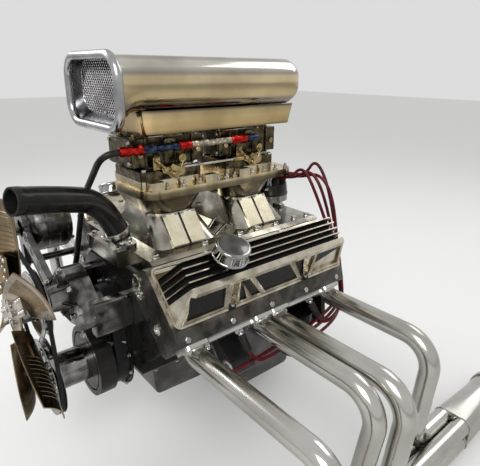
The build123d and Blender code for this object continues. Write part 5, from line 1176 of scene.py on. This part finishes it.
# Small parts of the starter, the fuel pump, the oil filter and the mounts
STARTER_X, STARTER_Z, STARTER_FACE = -172, -62, -204.3
SOLENOID_X, SOLENOID_Z = -182, -14
FUEL_PUMP = Vector((-181.3, -452, 0))
small = Shape()
for turn in (40, 220):
    small.bolt(Vector((STARTER_X, STARTER_FACE, STARTER_Z)) + spoke(turn) * 31, FRONT, 5, 4.5)
small.turned((STARTER_X, STARTER_FACE, STARTER_Z), FRONT, ((0, 14), (5, 13), (6, 10), (6, 0)), 32)
for x, z in ((-10, 8), (10, 8), (0, -10)):
    terminal = (SOLENOID_X + x, -147.3, SOLENOID_Z + z)
    small.turned(terminal, FRONT, ((0, 4), (6, 4), (6, 2.6), (14, 2.6), (14, 0)), 16)
for origin, axis, profile, steps in (
    ((SOLENOID_X, -30, SOLENOID_Z), REAR, ((-60, 24), (-60, 25.2), (-56, 25.2), (-56, 24)), 40),
    ((STARTER_X, -40, STARTER_Z), REAR, ((-70, 40), (-70, 41.2), (-64, 41.2), (-64, 40)), 56),
    (FUEL_PUMP + Vector((0, 0, 6)), UP, ((-4, 38), (-4, 42), (-1, 42.6), (2, 42), (2, 38)), 48),
):
    small.turned(origin, axis, profile, steps, closed=True)
for n in range(8):
    turn = radians(45 * n + 20)
    place = FUEL_PUMP + Vector((39.6 * cos(turn), 39.6 * sin(turn), 8))
    small.turned(place, UP, ((0, 3), (2.4, 3), (3, 2), (3, 0)), 14)
for y in (-482, -422):
    small.bolt((-151.3, y, 6), RIGHT, 6.5, 5)
small.turned(FUEL_PUMP + Vector((0, 0, 36)), UP, ((0, 26), (3, 24), (8, 14), (10, 0)), 40)
small.done("accessory_fittings", "clamp_steel")

FILTER_TOP, FLUTES = Vector((173, -78, 0)), 14
FLUTE = ((45.2, -70), (46.4, -72), (46.2, -84), (44.2, -91), (38, -94.6), (36, -94))
flutes = Shape()
for n in range(FLUTES):
    turn = 2 * pi * n / FLUTES
    out = Vector((cos(turn), sin(turn), 0))
    flutes.prism(FLUTE, FILTER_TOP - out.cross(UP) * 5, out, UP, 10)
flutes.turned((173, -78, -0.3), DOWN, ((0, 46), (1, 47.4), (4, 47.6), (5, 46)), 56, closed=True)
flutes.done("filter_flutes", "filter_paint", bevel=0.8)

mounts = Shape()
for side in (-1, 1):
    for washer in (
        ((-33.4, 12), (-33.4, 20), (-32, 21), (-32, 12)),
        ((32, 12), (32, 21), (33.4, 20), (33.4, 12)),
    ):
        mounts.turned((side * 186, -290, -36), REAR, washer, 40, closed=True)
    for y in (-312, -268):
        mounts.bolt((side * 137.3, y, 20), (side, 0, 0), 6.0, 5.0)
mounts.done("mount_washers", "clamp_steel")

# Screws in the frame of the scoop's screen
trim = Shape()
for x, z in ((-105.5, 590), (105.5, 590), (0, 640), (0, 539.5)):
    trim.turned((x, -482.6, z), FRONT, ((0, 3.4), (1.2, 3.2), (2, 2), (2.2, 0)), 14)
trim.done("screen_screws", "clamp_steel")

# Floor, sky, lamps and camera
bpy.ops.mesh.primitive_plane_add(size=2 * FLOOR_HALF, location=(0, 0, FLOOR_Z))
floor = bpy.context.object
floor.name = "floor"
floor_look, floor_nodes, floor_links, floor_shader = new_material("floor_look", FLOOR_COLOUR, 0.0, 0.9)
fill(floor_shader, Emission_Color=(1, 1, 1, 1))
floor_ray = floor_nodes.new("ShaderNodeLightPath")
floor_glow = floor_nodes.new("ShaderNodeMath")
floor_glow.operation = "MULTIPLY"
floor_glow.inputs[1].default_value = FLOOR_GLOW
floor_links.new(floor_ray.outputs["Is Camera Ray"], floor_glow.inputs[0])
floor_links.new(floor_glow.outputs["Value"], floor_shader.inputs["Emission Strength"])
floor.data.materials.append(floor_look)

world = bpy.data.worlds.new("studio")
bpy.context.scene.world = world
world.use_nodes = True
sky_nodes, sky_links = world.node_tree.nodes, world.node_tree.links
sky_nodes.clear()
output = sky_nodes.new("ShaderNodeOutputWorld")
shown = fill(sky_nodes.new("ShaderNodeBackground"), Color=(*SKY_SHOWN, 1), Strength=1.0)
lit = fill(sky_nodes.new("ShaderNodeBackground"), Color=(1, 1, 1, 1), Strength=SKY_LIGHT)
mix = sky_nodes.new("ShaderNodeMixShader")
ray = sky_nodes.new("ShaderNodeLightPath")
seen = ray.outputs["Is Camera Ray"]
for other in ("Is Glossy Ray", "Is Transmission Ray"):
    either = sky_nodes.new("ShaderNodeMath")
    either.operation = "MAXIMUM"
    sky_links.new(seen, either.inputs[0])
    sky_links.new(ray.outputs[other], either.inputs[1])
    seen = either.outputs["Value"]
sky_links.new(seen, mix.inputs["Fac"])
sky_links.new(lit.outputs["Background"], mix.inputs[1])
sky_links.new(shown.outputs["Background"], mix.inputs[2])
sky_links.new(mix.outputs["Shader"], output.inputs["Surface"])

# Lamps: place, what it faces, size, power
LAMPS = (
    ((1.6, -1.9, 2.0), (0.0, -0.3, 0.2), 1.4, 38.0),
    ((-1.8, -1.2, 1.7), (0.0, -0.3, 0.2), 1.2, 22.0),
    ((0.4, 2.1, 2.3), (0.0, -0.2, 0.2), 1.6, 18.0),
)
for number, (place, goal, size, power) in enumerate(LAMPS):
    lamp = bpy.data.lights.new(f"lamp_{number}", "AREA")
    lamp.size = size
    lamp.energy = power
    holder = bpy.data.objects.new(f"lamp_{number}", lamp)
    holder.location = place
    holder.rotation_euler = (Vector(goal) - Vector(place)).to_track_quat("-Z", "Y").to_euler()
    bpy.context.scene.collection.objects.link(holder)

yaw, pitch, roll = (radians(a) for a in (CAMERA_YAW, CAMERA_PITCH, CAMERA_ROLL))
forward = Vector((-cos(pitch) * cos(yaw), cos(pitch) * sin(yaw), -sin(pitch)))
right = forward.cross(Vector((0, 0, 1))).normalized()
up = right.cross(forward)
turn = Matrix((right, up, -forward)).transposed() @ Matrix.Rotation(roll, 3, "Z")
camera_data = bpy.data.cameras.new("camera")
camera_data.sensor_fit = "HORIZONTAL"
camera_data.sensor_width = SENSOR_WIDTH
camera_data.lens = SENSOR_WIDTH * FOCAL_SHARE
camera = bpy.data.objects.new("camera", camera_data)
camera.matrix_world = Matrix.Translation(CAMERA_PLACE) @ turn.to_4x4()
bpy.context.scene.collection.objects.link(camera)
bpy.context.scene.camera = camera
bpy.context.scene.view_settings.view_transform = "Standard"
